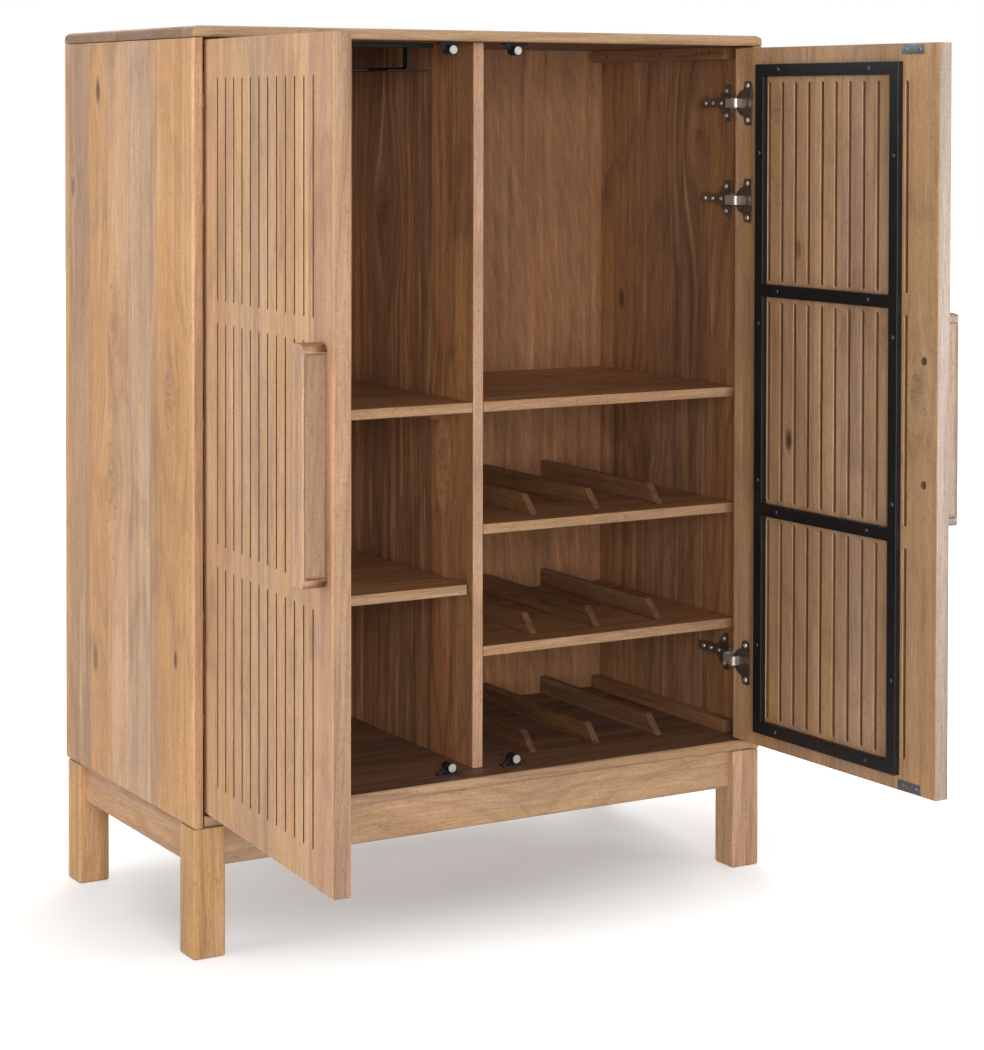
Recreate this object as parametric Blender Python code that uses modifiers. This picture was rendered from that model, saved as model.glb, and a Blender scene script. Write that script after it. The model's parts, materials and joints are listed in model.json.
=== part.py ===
"""Bar cabinet with two slotted doors, a stemware rack, shelves and bottle racks.

Units are metres. X runs from left to right, Y from front to back and Z up. While the cabinet is
built, x = 0 is its middle plane, y = 0 the front edge of the case and z = 0 the floor. The last
step moves the whole cabinet so that the bottom centre of its bounding box is the origin.
"""

import math

import bmesh
import bpy
from mathutils import Matrix, Vector

# Clearances
SEAT_GAP = 0.0003
OVERRUN = 0.002

# Case
CASE_WIDTH = 0.867
CASE_DEPTH = 0.430
TOTAL_HEIGHT = 1.165
TOP_THICKNESS = 0.015
SIDE_THICKNESS = 0.0155
BOTTOM_THICKNESS = 0.015
BACK_THICKNESS = 0.010
BACK_RECESS = 0.025
BACK_GROOVE_DEPTH = 0.005
DIVIDER_THICKNESS = 0.016
TOP_CORNER_RADIUS = 0.011
FOOT_CORNER_RADIUS = 0.009
FRONT_EDGE_RADIUS = 0.005
EASED_RADIUS = 0.0012

# Base
LEG_HEIGHT = 0.165
LEG_WIDTH = 0.044
LEG_INSET = 0.0015
LEG_RADIUS = 0.003
APRON_HEIGHT = 0.053
APRON_THICKNESS = 0.018
APRON_SETBACK = 0.010

# Shelves
INTERIOR_SETBACK = 0.0436
SHELF_THICKNESS = 0.014
UPPER_SHELF_RISE = 0.491
WINE_UPPER_RISE = 0.327
WINE_LOWER_RISE = 0.163
ADJUSTABLE_SHELF_RISE = 0.2464
ADJUSTABLE_SHELF_SETBACK = 0.053
ADJUSTABLE_SHELF_PLAY = 0.0035
PIN_RADIUS = 0.003
PIN_LENGTH = 0.010
PIN_INSET = 0.050

# Bottle dividers
BOTTLE_DIVIDER_THICKNESS = 0.010
BOTTLE_DIVIDER_HEIGHT = 0.026
BOTTLE_PITCH = 0.103
BOTTLE_FRONT_SETBACK = 0.080
BOTTLE_NOSE_LENGTH = 0.027
BOTTLE_NOSE_RADIUS = 0.008

# Cleats and block
CLEAT_FRONT = 0.044
CLEAT_BACK_CLEARANCE = 0.005
TOP_CLEAT_WIDTH = 0.020
TOP_CLEAT_HEIGHT = 0.0172
FLOOR_CLEAT_WIDTH = 0.016
FLOOR_CLEAT_HEIGHT = 0.018
BLOCK_FRONT = 0.122
BLOCK_LENGTH = 0.057
BLOCK_HEIGHT = 0.016
BLOCK_WIDTH = 0.020

# Doors
DOOR_THICKNESS = 0.022
DOOR_GAP = 0.0025
DOOR_RECESS = 0.0005
DOOR_EDGE_EASE = 0.001
LEFT_DOOR_OPEN_ANGLE = math.radians(94.0)
RIGHT_DOOR_OPEN_ANGLE = math.radians(92.8)
AXIS_INSET = 0.005
AXIS_DEPTH = 0.004
SLOT_COLUMNS = 12
SLOT_ROWS = 3
SLOT_WIDTH = 0.0052
SLOT_ROW_GAP = 0.028
SLOT_FROM_HINGE_EDGE = 0.0475
SLOT_FROM_FREE_EDGE = 0.05985
SLOT_FROM_BOTTOM = 0.042
SLOT_FROM_TOP = 0.048
SLOT_END_SEGMENTS = 4

# Strike plates
STRIKE_WIDTH = 0.042
STRIKE_HEIGHT = 0.0125
STRIKE_THICKNESS = 0.0013
STRIKE_FROM_FREE_EDGE = 0.048
STRIKE_FROM_DOOR_END = 0.0018

# Door frames
FRAME_BAR_WIDTH = 0.017
FRAME_BAR_DEPTH = 0.009
FRAME_FROM_HINGE_EDGE = 0.0555
FRAME_FROM_FREE_EDGE = 0.06675
FRAME_FROM_BOTTOM = 0.020
FRAME_FROM_TOP = 0.023
FRAME_WINDOWS = 3
FRAME_EDGE_RADIUS = 0.0008

# Handles
HANDLE_WIDTH = 0.031
HANDLE_DEPTH = 0.030
HANDLE_LENGTH = 0.275
HANDLE_FROM_FREE_EDGE = 0.0165
HANDLE_FROM_BOTTOM = 0.344
HANDLE_END_RADIUS = 0.0145
HANDLE_EDGE_RADIUS = 0.002
HANDLE_GROOVE_DEPTH = 0.0065
HANDLE_GROOVE_RADIUS = 0.006
HANDLE_GROOVE_LIP = 0.0035
HANDLE_GROOVE_RIM = 0.0035
HANDLE_GROOVE_FROM_END = 0.0145

# Hinges
TOP_HINGE_FROM_DOOR_TOP = 0.0764
MIDDLE_HINGE_FROM_DOOR_TOP = 0.2117
BOTTOM_HINGE_FROM_DOOR_BOTTOM = 0.1102
CUP_RADIUS = 0.0172
CUP_DEPTH = 0.0115
CUP_FLOOR = 0.001
CUP_FROM_HINGE_EDGE = 0.0215
WELL_LENGTH = 0.030
WELL_SIDE_GAP = 0.0004
FLANGE_THICKNESS = 0.0008
FLANGE_HEIGHT = 0.061
FLANGE_RIM = 0.001
FLANGE_STRAIGHT_EDGE = 0.0165
FLANGE_EAR_WIDTH = 0.016
FLANGE_EAR_RADIUS = 0.004
PLATE_FRONT = 0.053
PLATE_LENGTH = 0.027
PLATE_HEIGHT = 0.052
PLATE_THICKNESS = 0.0022
ARM_BACK = 0.118
ARM_STANDOFF = 0.0075
ARM_TAIL_HEIGHT = 0.012
ARM_NOSE_LENGTH = 0.022
ARM_CHANNEL_DEPTH = 0.0006
LINK_PIN_OFF_SIDE = 0.011
LINK_PIN_BEHIND_FRONT = 0.0265
LINK_PIN_RADIUS = 0.0012
LINK_BORE_RADIUS = 0.0015
LINK_BARREL_RADIUS = 0.0023
LINK_HEIGHT = 0.0124
LINK_THICKNESS = 0.002
LINK_BEND_RADIUS = 0.004
LINK_ELBOW_OFF_PIN = (0.0157, 0.0046)
LINK_KNEE_OFF_PIN = (0.0246, -0.0323)
LINK_TIP_OFF_PIN = (0.0104, -0.0272)
LINK_DRAWN_AT_DOOR_ANGLE = math.radians(94.0)
LINK_TURN_SHARE = 0.71
CHEEK_THICKNESS = 0.0016

# Magnetic catches
CATCH_FROM_MIDDLE = 0.0495
CATCH_RADIUS = 0.0065
CATCH_LENGTH = 0.018
CATCH_AXIS_HEIGHT = 0.010
CATCH_AIR_GAP = 0.0005
CATCH_BASE_WIDTH = 0.036
CATCH_BASE_DEPTH = 0.012
CATCH_BASE_THICKNESS = 0.0018
CATCH_BASE_SETBACK = 0.003
CATCH_WEB_THICKNESS = 0.003

# Stemware rack
RAIL_COUNT = 4
RAIL_DROP = 0.037
RAIL_WEB_THICKNESS = 0.003
RAIL_FLANGE_WIDTH = 0.062
RAIL_FLANGE_THICKNESS = 0.002
RAIL_FILLET_RADIUS = 0.005
RAIL_FRONT = 0.126
RAIL_FROM_MIDDLE = 0.0615
RAIL_FROM_SIDE = 0.0811
RACK_BAR_HEIGHT = 0.005
RACK_BAR_DEPTH = 0.016
RACK_BAR_OVERHANG = 0.038
RACK_BACK_CLEARANCE = 0.012

# Sizes worked out from those above
HALF_WIDTH = CASE_WIDTH / 2
INNER_HALF = HALF_WIDTH - SIDE_THICKNESS
CEILING = TOTAL_HEIGHT - TOP_THICKNESS
FLOOR = LEG_HEIGHT + BOTTOM_THICKNESS
BACK_FACE = CASE_DEPTH - BACK_RECESS - BACK_THICKNESS
UPPER_SHELF_TOP = FLOOR + UPPER_SHELF_RISE
WINE_UPPER_TOP = FLOOR + WINE_UPPER_RISE
WINE_LOWER_TOP = FLOOR + WINE_LOWER_RISE
ADJUSTABLE_SHELF_TOP = FLOOR + ADJUSTABLE_SHELF_RISE
DOOR_WIDTH = (2 * INNER_HALF - 3 * DOOR_GAP) / 2
DOOR_BOTTOM = FLOOR + DOOR_GAP
DOOR_HEIGHT = CEILING - DOOR_GAP - DOOR_BOTTOM
AXIS_X = INNER_HALF - DOOR_GAP - AXIS_INSET
AXIS_Y = DOOR_RECESS + AXIS_DEPTH
DOOR_INNER_Y = DOOR_RECESS + DOOR_THICKNESS
DOOR_TOP = DOOR_BOTTOM + DOOR_HEIGHT
SLOT_SPAN = DOOR_WIDTH - SLOT_FROM_HINGE_EDGE - SLOT_FROM_FREE_EDGE
SLOT_PITCH = SLOT_SPAN / (SLOT_COLUMNS - 1)
SLOT_RISE = DOOR_HEIGHT - SLOT_FROM_BOTTOM - SLOT_FROM_TOP
SLOT_LENGTH = (SLOT_RISE - (SLOT_ROWS - 1) * SLOT_ROW_GAP) / SLOT_ROWS
FRAME_WIDTH = DOOR_WIDTH - FRAME_FROM_HINGE_EDGE - FRAME_FROM_FREE_EDGE
FRAME_HEIGHT = DOOR_HEIGHT - FRAME_FROM_BOTTOM - FRAME_FROM_TOP
HINGE_HEIGHTS = {
    "top": DOOR_TOP - TOP_HINGE_FROM_DOOR_TOP,
    "middle": DOOR_TOP - MIDDLE_HINGE_FROM_DOOR_TOP,
    "bottom": DOOR_BOTTOM + BOTTOM_HINGE_FROM_DOOR_BOTTOM,
}
RAIL_SPAN = INNER_HALF - RAIL_FROM_SIDE - RAIL_FROM_MIDDLE
RAIL_PITCH = RAIL_SPAN / (RAIL_COUNT - 1)

# Colours as sRGB bytes with roughness and metallic value
FINISHES = {
    "oiled_wood": ("C19A73", 0.55, 0.0),
    "shaded_wood": ("9A7350", 0.60, 0.0),
    "black_steel": ("1B1B1D", 0.45, 0.6),
    "nickel": ("4A403A", 0.35, 1.0),
    "bright_steel": ("C8C8BE", 0.30, 1.0),
    "black_plastic": ("202022", 0.50, 0.0),
}


def clear_scene():
    """Remove every object that the file starts with."""
    for obj in list(bpy.data.objects):
        bpy.data.objects.remove(obj, do_unlink=True)


def new_collection(name):
    collection = bpy.data.collections.new(name)
    bpy.context.scene.collection.children.link(collection)
    return collection


def linear_channel(byte):
    """One sRGB byte as the linear value that a shader reads."""
    share = byte / 255
    return share / 12.92 if share <= 0.04045 else ((share + 0.055) / 1.055) ** 2.4


def finish_material(name, finish):
    """A material for one piece, with the colour, roughness and metallic value of its finish."""
    colour_hex, roughness, metallic = FINISHES[finish]
    material = bpy.data.materials.new(name)
    material.use_nodes = True
    shader = material.node_tree.nodes["Principled BSDF"]
    colour = [linear_channel(byte) for byte in bytes.fromhex(colour_hex)]
    shader.inputs["Base Color"].default_value = (*colour, 1)
    shader.inputs["Roughness"].default_value = roughness
    shader.inputs["Metallic"].default_value = metallic
    return material


def add_piece(name, mesh, finish, parent):
    """A named sub-part in the cabinet's collection."""
    piece = bpy.data.objects.new(name, mesh)
    mesh.materials.clear()
    mesh.materials.append(finish_material(name, finish))
    PARTS.objects.link(piece)
    piece.parent = parent
    return piece


def add_cutter(name, mesh, parent):
    """A helper that only shapes another piece."""
    cutter = bpy.data.objects.new(name, mesh)
    CUTTERS.objects.link(cutter)
    cutter.parent = parent
    cutter.hide_render = True
    cutter.display_type = "WIRE"
    return cutter


def add_empty(name, location, parent=None):
    empty = bpy.data.objects.new(name, None)
    PARTS.objects.link(empty)
    empty.location = location
    empty.parent = parent
    return empty


def boolean(piece, other, operation):
    modifier = piece.modifiers.new(other.name, "BOOLEAN")
    modifier.operation = operation
    modifier.object = other


def mesh_from(bm, name):
    mesh = bpy.data.meshes.new(name)
    bm.to_mesh(mesh)
    bm.free()
    return mesh


def smooth(mesh):
    mesh.shade_smooth()
    mesh.set_sharp_from_angle(angle=math.radians(35))
    return mesh


def block_mesh(name, low, high, rounds=None, segments=3):
    """A box between two corners.

    rounds gives the radius of an edge by its place on the box: one sign each for x, y and z, with 0
    for the axis that the edge runs along. "+0-" runs along y at high x and low z.
    """
    size = Vector(high) - Vector(low)
    centre = (Vector(high) + Vector(low)) / 2
    bm = bmesh.new()
    bmesh.ops.create_cube(bm, size=1)
    bmesh.ops.scale(bm, vec=size, verts=bm.verts)
    weight = bm.edges.layers.float.new("bevel_weight_edge")
    by_radius = {}
    for edge in bm.edges:
        middle = (edge.verts[0].co + edge.verts[1].co) / 2
        signs = ["0" if abs(value) < half / 2 else "+" if value > 0 else "-"
                 for value, half in zip(middle, size / 2)]
        radius = (rounds or {}).get("".join(signs), 0)
        if radius:
            by_radius.setdefault(radius, []).append(edge)
    widest = max(by_radius, default=0)
    for radius, edges in by_radius.items():
        for edge in edges:
            edge[weight] = radius / widest
    bmesh.ops.translate(bm, vec=centre, verts=bm.verts)
    return mesh_from(bm, name), widest, segments


def add_block(name, low, high, finish, parent, rounds=None, segments=3):
    """A box-shaped piece whose listed edges are rounded by a weighted Bevel."""
    mesh, widest, segments = block_mesh(name, low, high, rounds, segments)
    piece = add_piece(name, mesh, finish, parent)
    if widest:
        bevel = piece.modifiers.new("rounded_edges", "BEVEL")
        bevel.limit_method = "WEIGHT"
        bevel.width = widest
        bevel.segments = segments
        smooth(mesh)
    return piece


def all_edges(radius):
    """The same radius on all twelve edges of a box."""
    signs = "+-"
    keys = [f"0{a}{b}" for a in signs for b in signs]
    keys += [f"{a}0{b}" for a in signs for b in signs]
    keys += [f"{a}{b}0" for a in signs for b in signs]
    return dict.fromkeys(keys, radius)


def arc(centre, radius, start, end, segments):
    """Points on an arc about a centre, from one angle in degrees to another."""
    angles = [math.radians(start + (end - start) * step / segments) for step in range(segments + 1)]
    return [(centre[0] + radius * math.cos(a), centre[1] + radius * math.sin(a)) for a in angles]


def rounded_path(points, radius, segments=4, closed=False):
    """The same path with each inner corner turned into an arc of the given radius."""
    count = len(points)
    path = []
    for index, point in enumerate(points):
        if not closed and index in (0, count - 1):
            path.append(point)
            continue
        corner = Vector(point)
        before = (Vector(points[index - 1]) - corner).normalized()
        after = (Vector(points[(index + 1) % count]) - corner).normalized()
        half = before.angle(after) / 2
        reach = radius / math.tan(half)
        centre = corner + (before + after).normalized() * (radius / math.sin(half))
        start = corner + before * reach - centre
        end = corner + after * reach - centre
        turn = start.angle_signed(end)
        for step in range(segments + 1):
            spoke = start.copy()
            spoke.rotate(Matrix.Rotation(-turn * step / segments, 2))
            path.append(tuple(centre + spoke))
    return path


# Each matrix lays a flat outline's own x and y along two axes of the cabinet, and its thickness
# along the third.
ALONG_XY = Matrix.Identity(4)
ALONG_XZ = Matrix(((1, 0, 0, 0), (0, 0, -1, 0), (0, 1, 0, 0), (0, 0, 0, 1)))
ALONG_YZ = Matrix(((0, 0, 1, 0), (1, 0, 0, 0), (0, 1, 0, 0), (0, 0, 0, 1)))


def plate_mesh(name, outlines, thickness, plane, centre, ease=0):
    """A flat outline, with holes where one outline lies in another, given its thickness.

    ease is the chamfer along every edge. It needs an outline that turns left and holes that turn
    right, as seen from the plate's own +Z.
    """
    curve = bpy.data.curves.new(name, "CURVE")
    curve.dimensions = "2D"
    curve.fill_mode = "BOTH"
    curve.extrude = thickness / 2 - ease
    curve.bevel_depth = ease
    curve.bevel_resolution = 0
    curve.offset = -ease
    for outline in outlines:
        spline = curve.splines.new("POLY")
        spline.points.add(len(outline) - 1)
        for point, place in zip(spline.points, outline):
            point.co = (*place, 0, 1)
        spline.use_cyclic_u = True
    guide = bpy.data.objects.new(name, curve)
    bpy.context.scene.collection.objects.link(guide)
    graph = bpy.context.evaluated_depsgraph_get()
    mesh = bpy.data.meshes.new_from_object(guide.evaluated_get(graph))
    bpy.data.objects.remove(guide)
    bm = bmesh.new()
    bm.from_mesh(mesh)
    bmesh.ops.remove_doubles(bm, verts=bm.verts, dist=SEAT_GAP / 100)
    bmesh.ops.recalc_face_normals(bm, faces=bm.faces)
    if len(outlines) == 1:
        # Each flat side becomes one face, which a Boolean then cuts cleanly.
        bmesh.ops.dissolve_limit(bm, angle_limit=math.radians(1), verts=bm.verts, edges=bm.edges)
    bm.to_mesh(mesh)
    bm.free()
    mesh.transform(Matrix.Translation(centre) @ plane)
    return mesh


def clear_slivers(mesh):
    """Turn the edges of a plate's fill, which leaves flat slivers between holes in one line."""
    bm = bmesh.new()
    bm.from_mesh(mesh)
    fill = {face for face in bm.faces if len(face.verts) == 3}
    inner = [edge for edge in bm.edges if fill.issuperset(edge.link_faces)]
    bmesh.ops.beautify_fill(bm, faces=list(fill), edges=inner)
    bm.to_mesh(mesh)
    bm.free()


def cylinder_mesh(name, radius, low, high, axis, segments):
    """A cylinder along one axis between two points that share the other two coordinates."""
    low, high = Vector(low), Vector(high)
    turn = {"x": Matrix.Rotation(math.pi / 2, 4, "Y"), "y": Matrix.Rotation(math.pi / 2, 4, "X"),
            "z": Matrix.Identity(4)}[axis]
    bm = bmesh.new()
    bmesh.ops.create_cone(bm, cap_ends=True, segments=segments, radius1=radius, radius2=radius,
                          depth=(high - low).length)
    bmesh.ops.transform(bm, matrix=Matrix.Translation((low + high) / 2) @ turn, verts=bm.verts)
    return mesh_from(bm, name)


def build_case():
    """Top, sides, bottom, back and the panel between the two bays."""
    edge = EASED_RADIUS
    front = FRONT_EDGE_RADIUS
    add_block(
        "top_panel",
        (-HALF_WIDTH, 0, CEILING + SEAT_GAP),
        (HALF_WIDTH, CASE_DEPTH, TOTAL_HEIGHT),
        "oiled_wood",
        ROOT,
        {"+0+": TOP_CORNER_RADIUS, "-0+": TOP_CORNER_RADIUS, "0-+": front, "0++": edge,
         "0--": front, "-0-": edge, "+0-": edge, "--0": front, "+-0": front},
        segments=4,
    )
    add_block(
        "bottom_panel",
        (-INNER_HALF + SEAT_GAP, 0, LEG_HEIGHT),
        (INNER_HALF - SEAT_GAP, CASE_DEPTH, FLOOR),
        "oiled_wood",
        ROOT,
        {"0--": front, "0-+": front},
    )
    for side, hand in SIDES.items():
        panel = add_block(
            f"side_panel_{side}",
            (-HALF_WIDTH, 0, LEG_HEIGHT),
            (-INNER_HALF, CASE_DEPTH, CEILING),
            "oiled_wood",
            hand,
            {"--0": front, "+-0": front, "-0-": FOOT_CORNER_RADIUS, "-0+": edge, "-+0": edge},
            segments=4,
        )
        cut_back_groove(panel, side, hand)
    add_block(
        "back_panel",
        (-INNER_HALF - BACK_GROOVE_DEPTH + SEAT_GAP, BACK_FACE, FLOOR + SEAT_GAP),
        (INNER_HALF + BACK_GROOVE_DEPTH - SEAT_GAP, BACK_FACE + BACK_THICKNESS, CEILING),
        "shaded_wood",
        ROOT,
    )
    add_block(
        "centre_divider",
        (-DIVIDER_THICKNESS / 2, INTERIOR_SETBACK, FLOOR + SEAT_GAP),
        (DIVIDER_THICKNESS / 2, BACK_FACE - SEAT_GAP, CEILING),
        "shaded_wood",
        ROOT,
        {"--0": edge, "+-0": edge},
    )


def cut_back_groove(panel, side, hand):
    """The groove in a side panel that holds the edge of the back panel."""
    low = (-INNER_HALF - BACK_GROOVE_DEPTH, BACK_FACE - SEAT_GAP, FLOOR)
    high = (-INNER_HALF + OVERRUN, BACK_FACE + BACK_THICKNESS + SEAT_GAP, CEILING + OVERRUN)
    mesh, _, _ = block_mesh(f"back_groove_{side}", low, high)
    boolean(panel, add_cutter(f"back_groove_{side}", mesh, hand), "DIFFERENCE")


def build_base():
    """Four square legs, and an apron between each two."""
    leg_front = LEG_INSET
    leg_back = CASE_DEPTH - LEG_INSET - LEG_WIDTH
    top = LEG_HEIGHT - SEAT_GAP
    leg_outer = HALF_WIDTH - LEG_INSET
    leg_inner = leg_outer - LEG_WIDTH
    apron_low = LEG_HEIGHT - APRON_HEIGHT
    for side, hand in SIDES.items():
        for end, y in (("front", leg_front), ("back", leg_back)):
            add_block(
                f"leg_{end}_{side}",
                (-leg_outer, y, 0),
                (-leg_inner, y + LEG_WIDTH, top),
                "oiled_wood",
                hand,
                all_edges(LEG_RADIUS),
                segments=2,
            )
        add_block(
            f"apron_{side}",
            (-leg_outer + APRON_SETBACK, leg_front + LEG_WIDTH + SEAT_GAP, apron_low),
            (-leg_outer + APRON_SETBACK + APRON_THICKNESS, leg_back - SEAT_GAP, top),
            "oiled_wood",
            hand,
            {"-0-": LEG_RADIUS, "+0-": LEG_RADIUS},
        )
    apron_front = leg_front + APRON_SETBACK
    apron_back = CASE_DEPTH - LEG_INSET - APRON_SETBACK - APRON_THICKNESS
    for end, y in (("front", apron_front), ("back", apron_back)):
        add_block(
            f"apron_{end}",
            (-leg_inner + SEAT_GAP, y, apron_low),
            (leg_inner - SEAT_GAP, y + APRON_THICKNESS, top),
            "oiled_wood",
            ROOT,
            {"0--": LEG_RADIUS, "0+-": LEG_RADIUS},
        )


def build_shelves():
    """The fixed shelves, the adjustable one with its pins, and the block under the upper one."""
    divider = DIVIDER_THICKNESS / 2
    edge = EASED_RADIUS
    rounds = {"0--": edge, "0-+": edge}
    left = (-INNER_HALF + SEAT_GAP, -divider - SEAT_GAP)
    right = (divider + SEAT_GAP, INNER_HALF - SEAT_GAP)
    shelves = (
        ("shelf_upper_left", left, UPPER_SHELF_TOP),
        ("shelf_upper_right", right, UPPER_SHELF_TOP),
        ("wine_shelf_upper", right, WINE_UPPER_TOP),
        ("wine_shelf_lower", right, WINE_LOWER_TOP),
    )
    for name, (x_low, x_high), top in shelves:
        add_block(
            name,
            (x_low, INTERIOR_SETBACK, top - SHELF_THICKNESS),
            (x_high, BACK_FACE - SEAT_GAP, top),
            "shaded_wood",
            ROOT,
            rounds,
        )
    shelf_back = BACK_FACE - ADJUSTABLE_SHELF_PLAY
    underside = ADJUSTABLE_SHELF_TOP - SHELF_THICKNESS
    add_block(
        "shelf_lower_left",
        (-INNER_HALF + ADJUSTABLE_SHELF_PLAY, ADJUSTABLE_SHELF_SETBACK, underside),
        (-divider - ADJUSTABLE_SHELF_PLAY, shelf_back, ADJUSTABLE_SHELF_TOP),
        "shaded_wood",
        ROOT,
        rounds,
    )
    carriers = (("side_panel_left", -INNER_HALF, 1), ("centre_divider", -divider, -1))
    for carrier, face, inwards in carriers:
        for end, y in (("front", ADJUSTABLE_SHELF_SETBACK + PIN_INSET), ("back", shelf_back - PIN_INSET)):
            z = underside - SEAT_GAP - PIN_RADIUS
            ends = sorted((face - inwards * OVERRUN, face + inwards * PIN_LENGTH))
            mesh = cylinder_mesh(f"shelf_pin_{carrier}_{end}", PIN_RADIUS, (ends[0], y, z),
                                 (ends[1], y, z), "x", 12)
            pin = add_cutter(mesh.name, mesh, ROOT)
            boolean(bpy.data.objects[carrier], pin, "UNION")
    add_block(
        "shelf_block",
        (-divider - SEAT_GAP - BLOCK_WIDTH, BLOCK_FRONT,
         UPPER_SHELF_TOP - SHELF_THICKNESS - SEAT_GAP - BLOCK_HEIGHT),
        (-divider - SEAT_GAP, BLOCK_FRONT + BLOCK_LENGTH,
         UPPER_SHELF_TOP - SHELF_THICKNESS - SEAT_GAP),
        "shaded_wood",
        ROOT,
    )


def build_cleats():
    """Two strips along the right side panel, one under the top and one on the bottom panel."""
    wall = INNER_HALF - SEAT_GAP
    back = BACK_FACE - CLEAT_BACK_CLEARANCE
    add_block(
        "top_cleat_right",
        (wall - TOP_CLEAT_WIDTH, CLEAT_FRONT, CEILING - TOP_CLEAT_HEIGHT),
        (wall, back, CEILING),
        "shaded_wood",
        ROOT,
        {"-0-": EASED_RADIUS},
    )
    add_block(
        "floor_cleat_right",
        (wall - FLOOR_CLEAT_WIDTH, CLEAT_FRONT, FLOOR + SEAT_GAP),
        (wall, back, FLOOR + SEAT_GAP + FLOOR_CLEAT_HEIGHT),
        "shaded_wood",
        ROOT,
        {"-0+": EASED_RADIUS},
    )


def build_bottle_dividers():
    """Three sloped strips on each wine shelf and on the bottom panel."""
    back = BACK_FACE - SEAT_GAP
    top = BOTTLE_DIVIDER_HEIGHT
    nose = BOTTLE_FRONT_SETBACK + BOTTLE_NOSE_LENGTH
    corner = rounded_path(
        [(BOTTLE_FRONT_SETBACK, 0), (nose, top), (back, top)], BOTTLE_NOSE_RADIUS, 4)
    outline = [*corner, (back, 0)]
    bay_middle = (DIVIDER_THICKNESS / 2 + INNER_HALF) / 2
    rows = (("upper", WINE_UPPER_TOP), ("lower", WINE_LOWER_TOP), ("floor", FLOOR))
    for row, surface in rows:
        for number, step in enumerate((-1, 0, 1), start=1):
            name = f"bottle_divider_{row}_{number}"
            centre = (bay_middle + step * BOTTLE_PITCH, 0, surface + SEAT_GAP)
            mesh = plate_mesh(name, [outline], BOTTLE_DIVIDER_THICKNESS, ALONG_YZ, centre)
            add_piece(name, mesh, "shaded_wood", ROOT)


def slot_outline(u, v):
    """A slot with round ends whose lower end starts at height v, centred on u."""
    radius = SLOT_WIDTH / 2
    lower = arc((u, v + radius), radius, 180, 360, SLOT_END_SEGMENTS)
    upper = arc((u, v + SLOT_LENGTH - radius), radius, 0, 180, SLOT_END_SEGMENTS)
    return lower + upper


def in_door(u, w, z):
    """A point of a shut door, from its distance u to the hinge edge and w to the outer face."""
    return (u - AXIS_INSET, w - AXIS_DEPTH, z)


def build_door(side, axis):
    """The slotted slab, with the bores for its hinge cups and its two strike plates."""
    outlines = [rectangle(-AXIS_INSET, DOOR_BOTTOM, DOOR_WIDTH - AXIS_INSET, DOOR_TOP)]
    for row in range(SLOT_ROWS):
        for column in range(SLOT_COLUMNS):
            slot = slot_outline(
                SLOT_FROM_HINGE_EDGE + column * SLOT_PITCH - AXIS_INSET,
                DOOR_BOTTOM + SLOT_FROM_BOTTOM + row * (SLOT_LENGTH + SLOT_ROW_GAP),
            )
            outlines.append(slot[::-1])
    slab = plate_mesh(f"door_{side}", outlines, DOOR_THICKNESS, ALONG_XZ,
                      (0, DOOR_THICKNESS / 2 - AXIS_DEPTH, 0), DOOR_EDGE_EASE)
    clear_slivers(slab)
    door = add_piece(slab.name, slab, "oiled_wood", axis)
    for place, z in HINGE_HEIGHTS.items():
        bore = cylinder_mesh(
            f"cup_bore_{side}_{place}",
            CUP_RADIUS + SEAT_GAP,
            in_door(CUP_FROM_HINGE_EDGE, DOOR_THICKNESS - CUP_DEPTH - SEAT_GAP, z),
            in_door(CUP_FROM_HINGE_EDGE, DOOR_THICKNESS + OVERRUN, z),
            "y",
            20,
        )
        boolean(door, add_cutter(bore.name, bore, axis), "DIFFERENCE")
    strike_u = DOOR_WIDTH - STRIKE_FROM_FREE_EDGE
    lower = DOOR_BOTTOM + STRIKE_FROM_DOOR_END
    upper = DOOR_TOP - STRIKE_FROM_DOOR_END - STRIKE_HEIGHT
    for place, z in (("low", lower), ("high", upper)):
        name = f"strike_plate_{side}_{place}"
        mesh, _, _ = block_mesh(
            name,
            in_door(strike_u - STRIKE_WIDTH / 2, DOOR_THICKNESS - OVERRUN, z),
            in_door(strike_u + STRIKE_WIDTH / 2, DOOR_THICKNESS + STRIKE_THICKNESS, z + STRIKE_HEIGHT),
        )
        boolean(door, add_cutter(name, mesh, axis), "UNION")


def build_door_frame(side, axis):
    """A welded steel frame with three windows, on the door's inner face."""
    u = FRAME_FROM_HINGE_EDGE - AXIS_INSET
    z = DOOR_BOTTOM + FRAME_FROM_BOTTOM
    bar = FRAME_BAR_WIDTH
    window = (FRAME_HEIGHT - (FRAME_WINDOWS + 1) * bar) / FRAME_WINDOWS
    outlines = [rectangle(u, z, u + FRAME_WIDTH, z + FRAME_HEIGHT)]
    for number in range(FRAME_WINDOWS):
        low = z + bar + number * (window + bar)
        outlines.append(rectangle(u + bar, low, u + FRAME_WIDTH - bar, low + window))
    centre = (0, DOOR_THICKNESS + SEAT_GAP + FRAME_BAR_DEPTH / 2 - AXIS_DEPTH, 0)
    mesh = plate_mesh(f"door_frame_{side}", outlines, FRAME_BAR_DEPTH, ALONG_XZ, centre)
    frame = add_piece(mesh.name, mesh, "black_steel", axis)
    bevel = frame.modifiers.new("eased_edges", "BEVEL")
    bevel.width = FRAME_EDGE_RADIUS
    bevel.segments = 1


def rectangle(x_low, y_low, x_high, y_high):
    return [(x_low, y_low), (x_high, y_low), (x_high, y_high), (x_low, y_high)]


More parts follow.
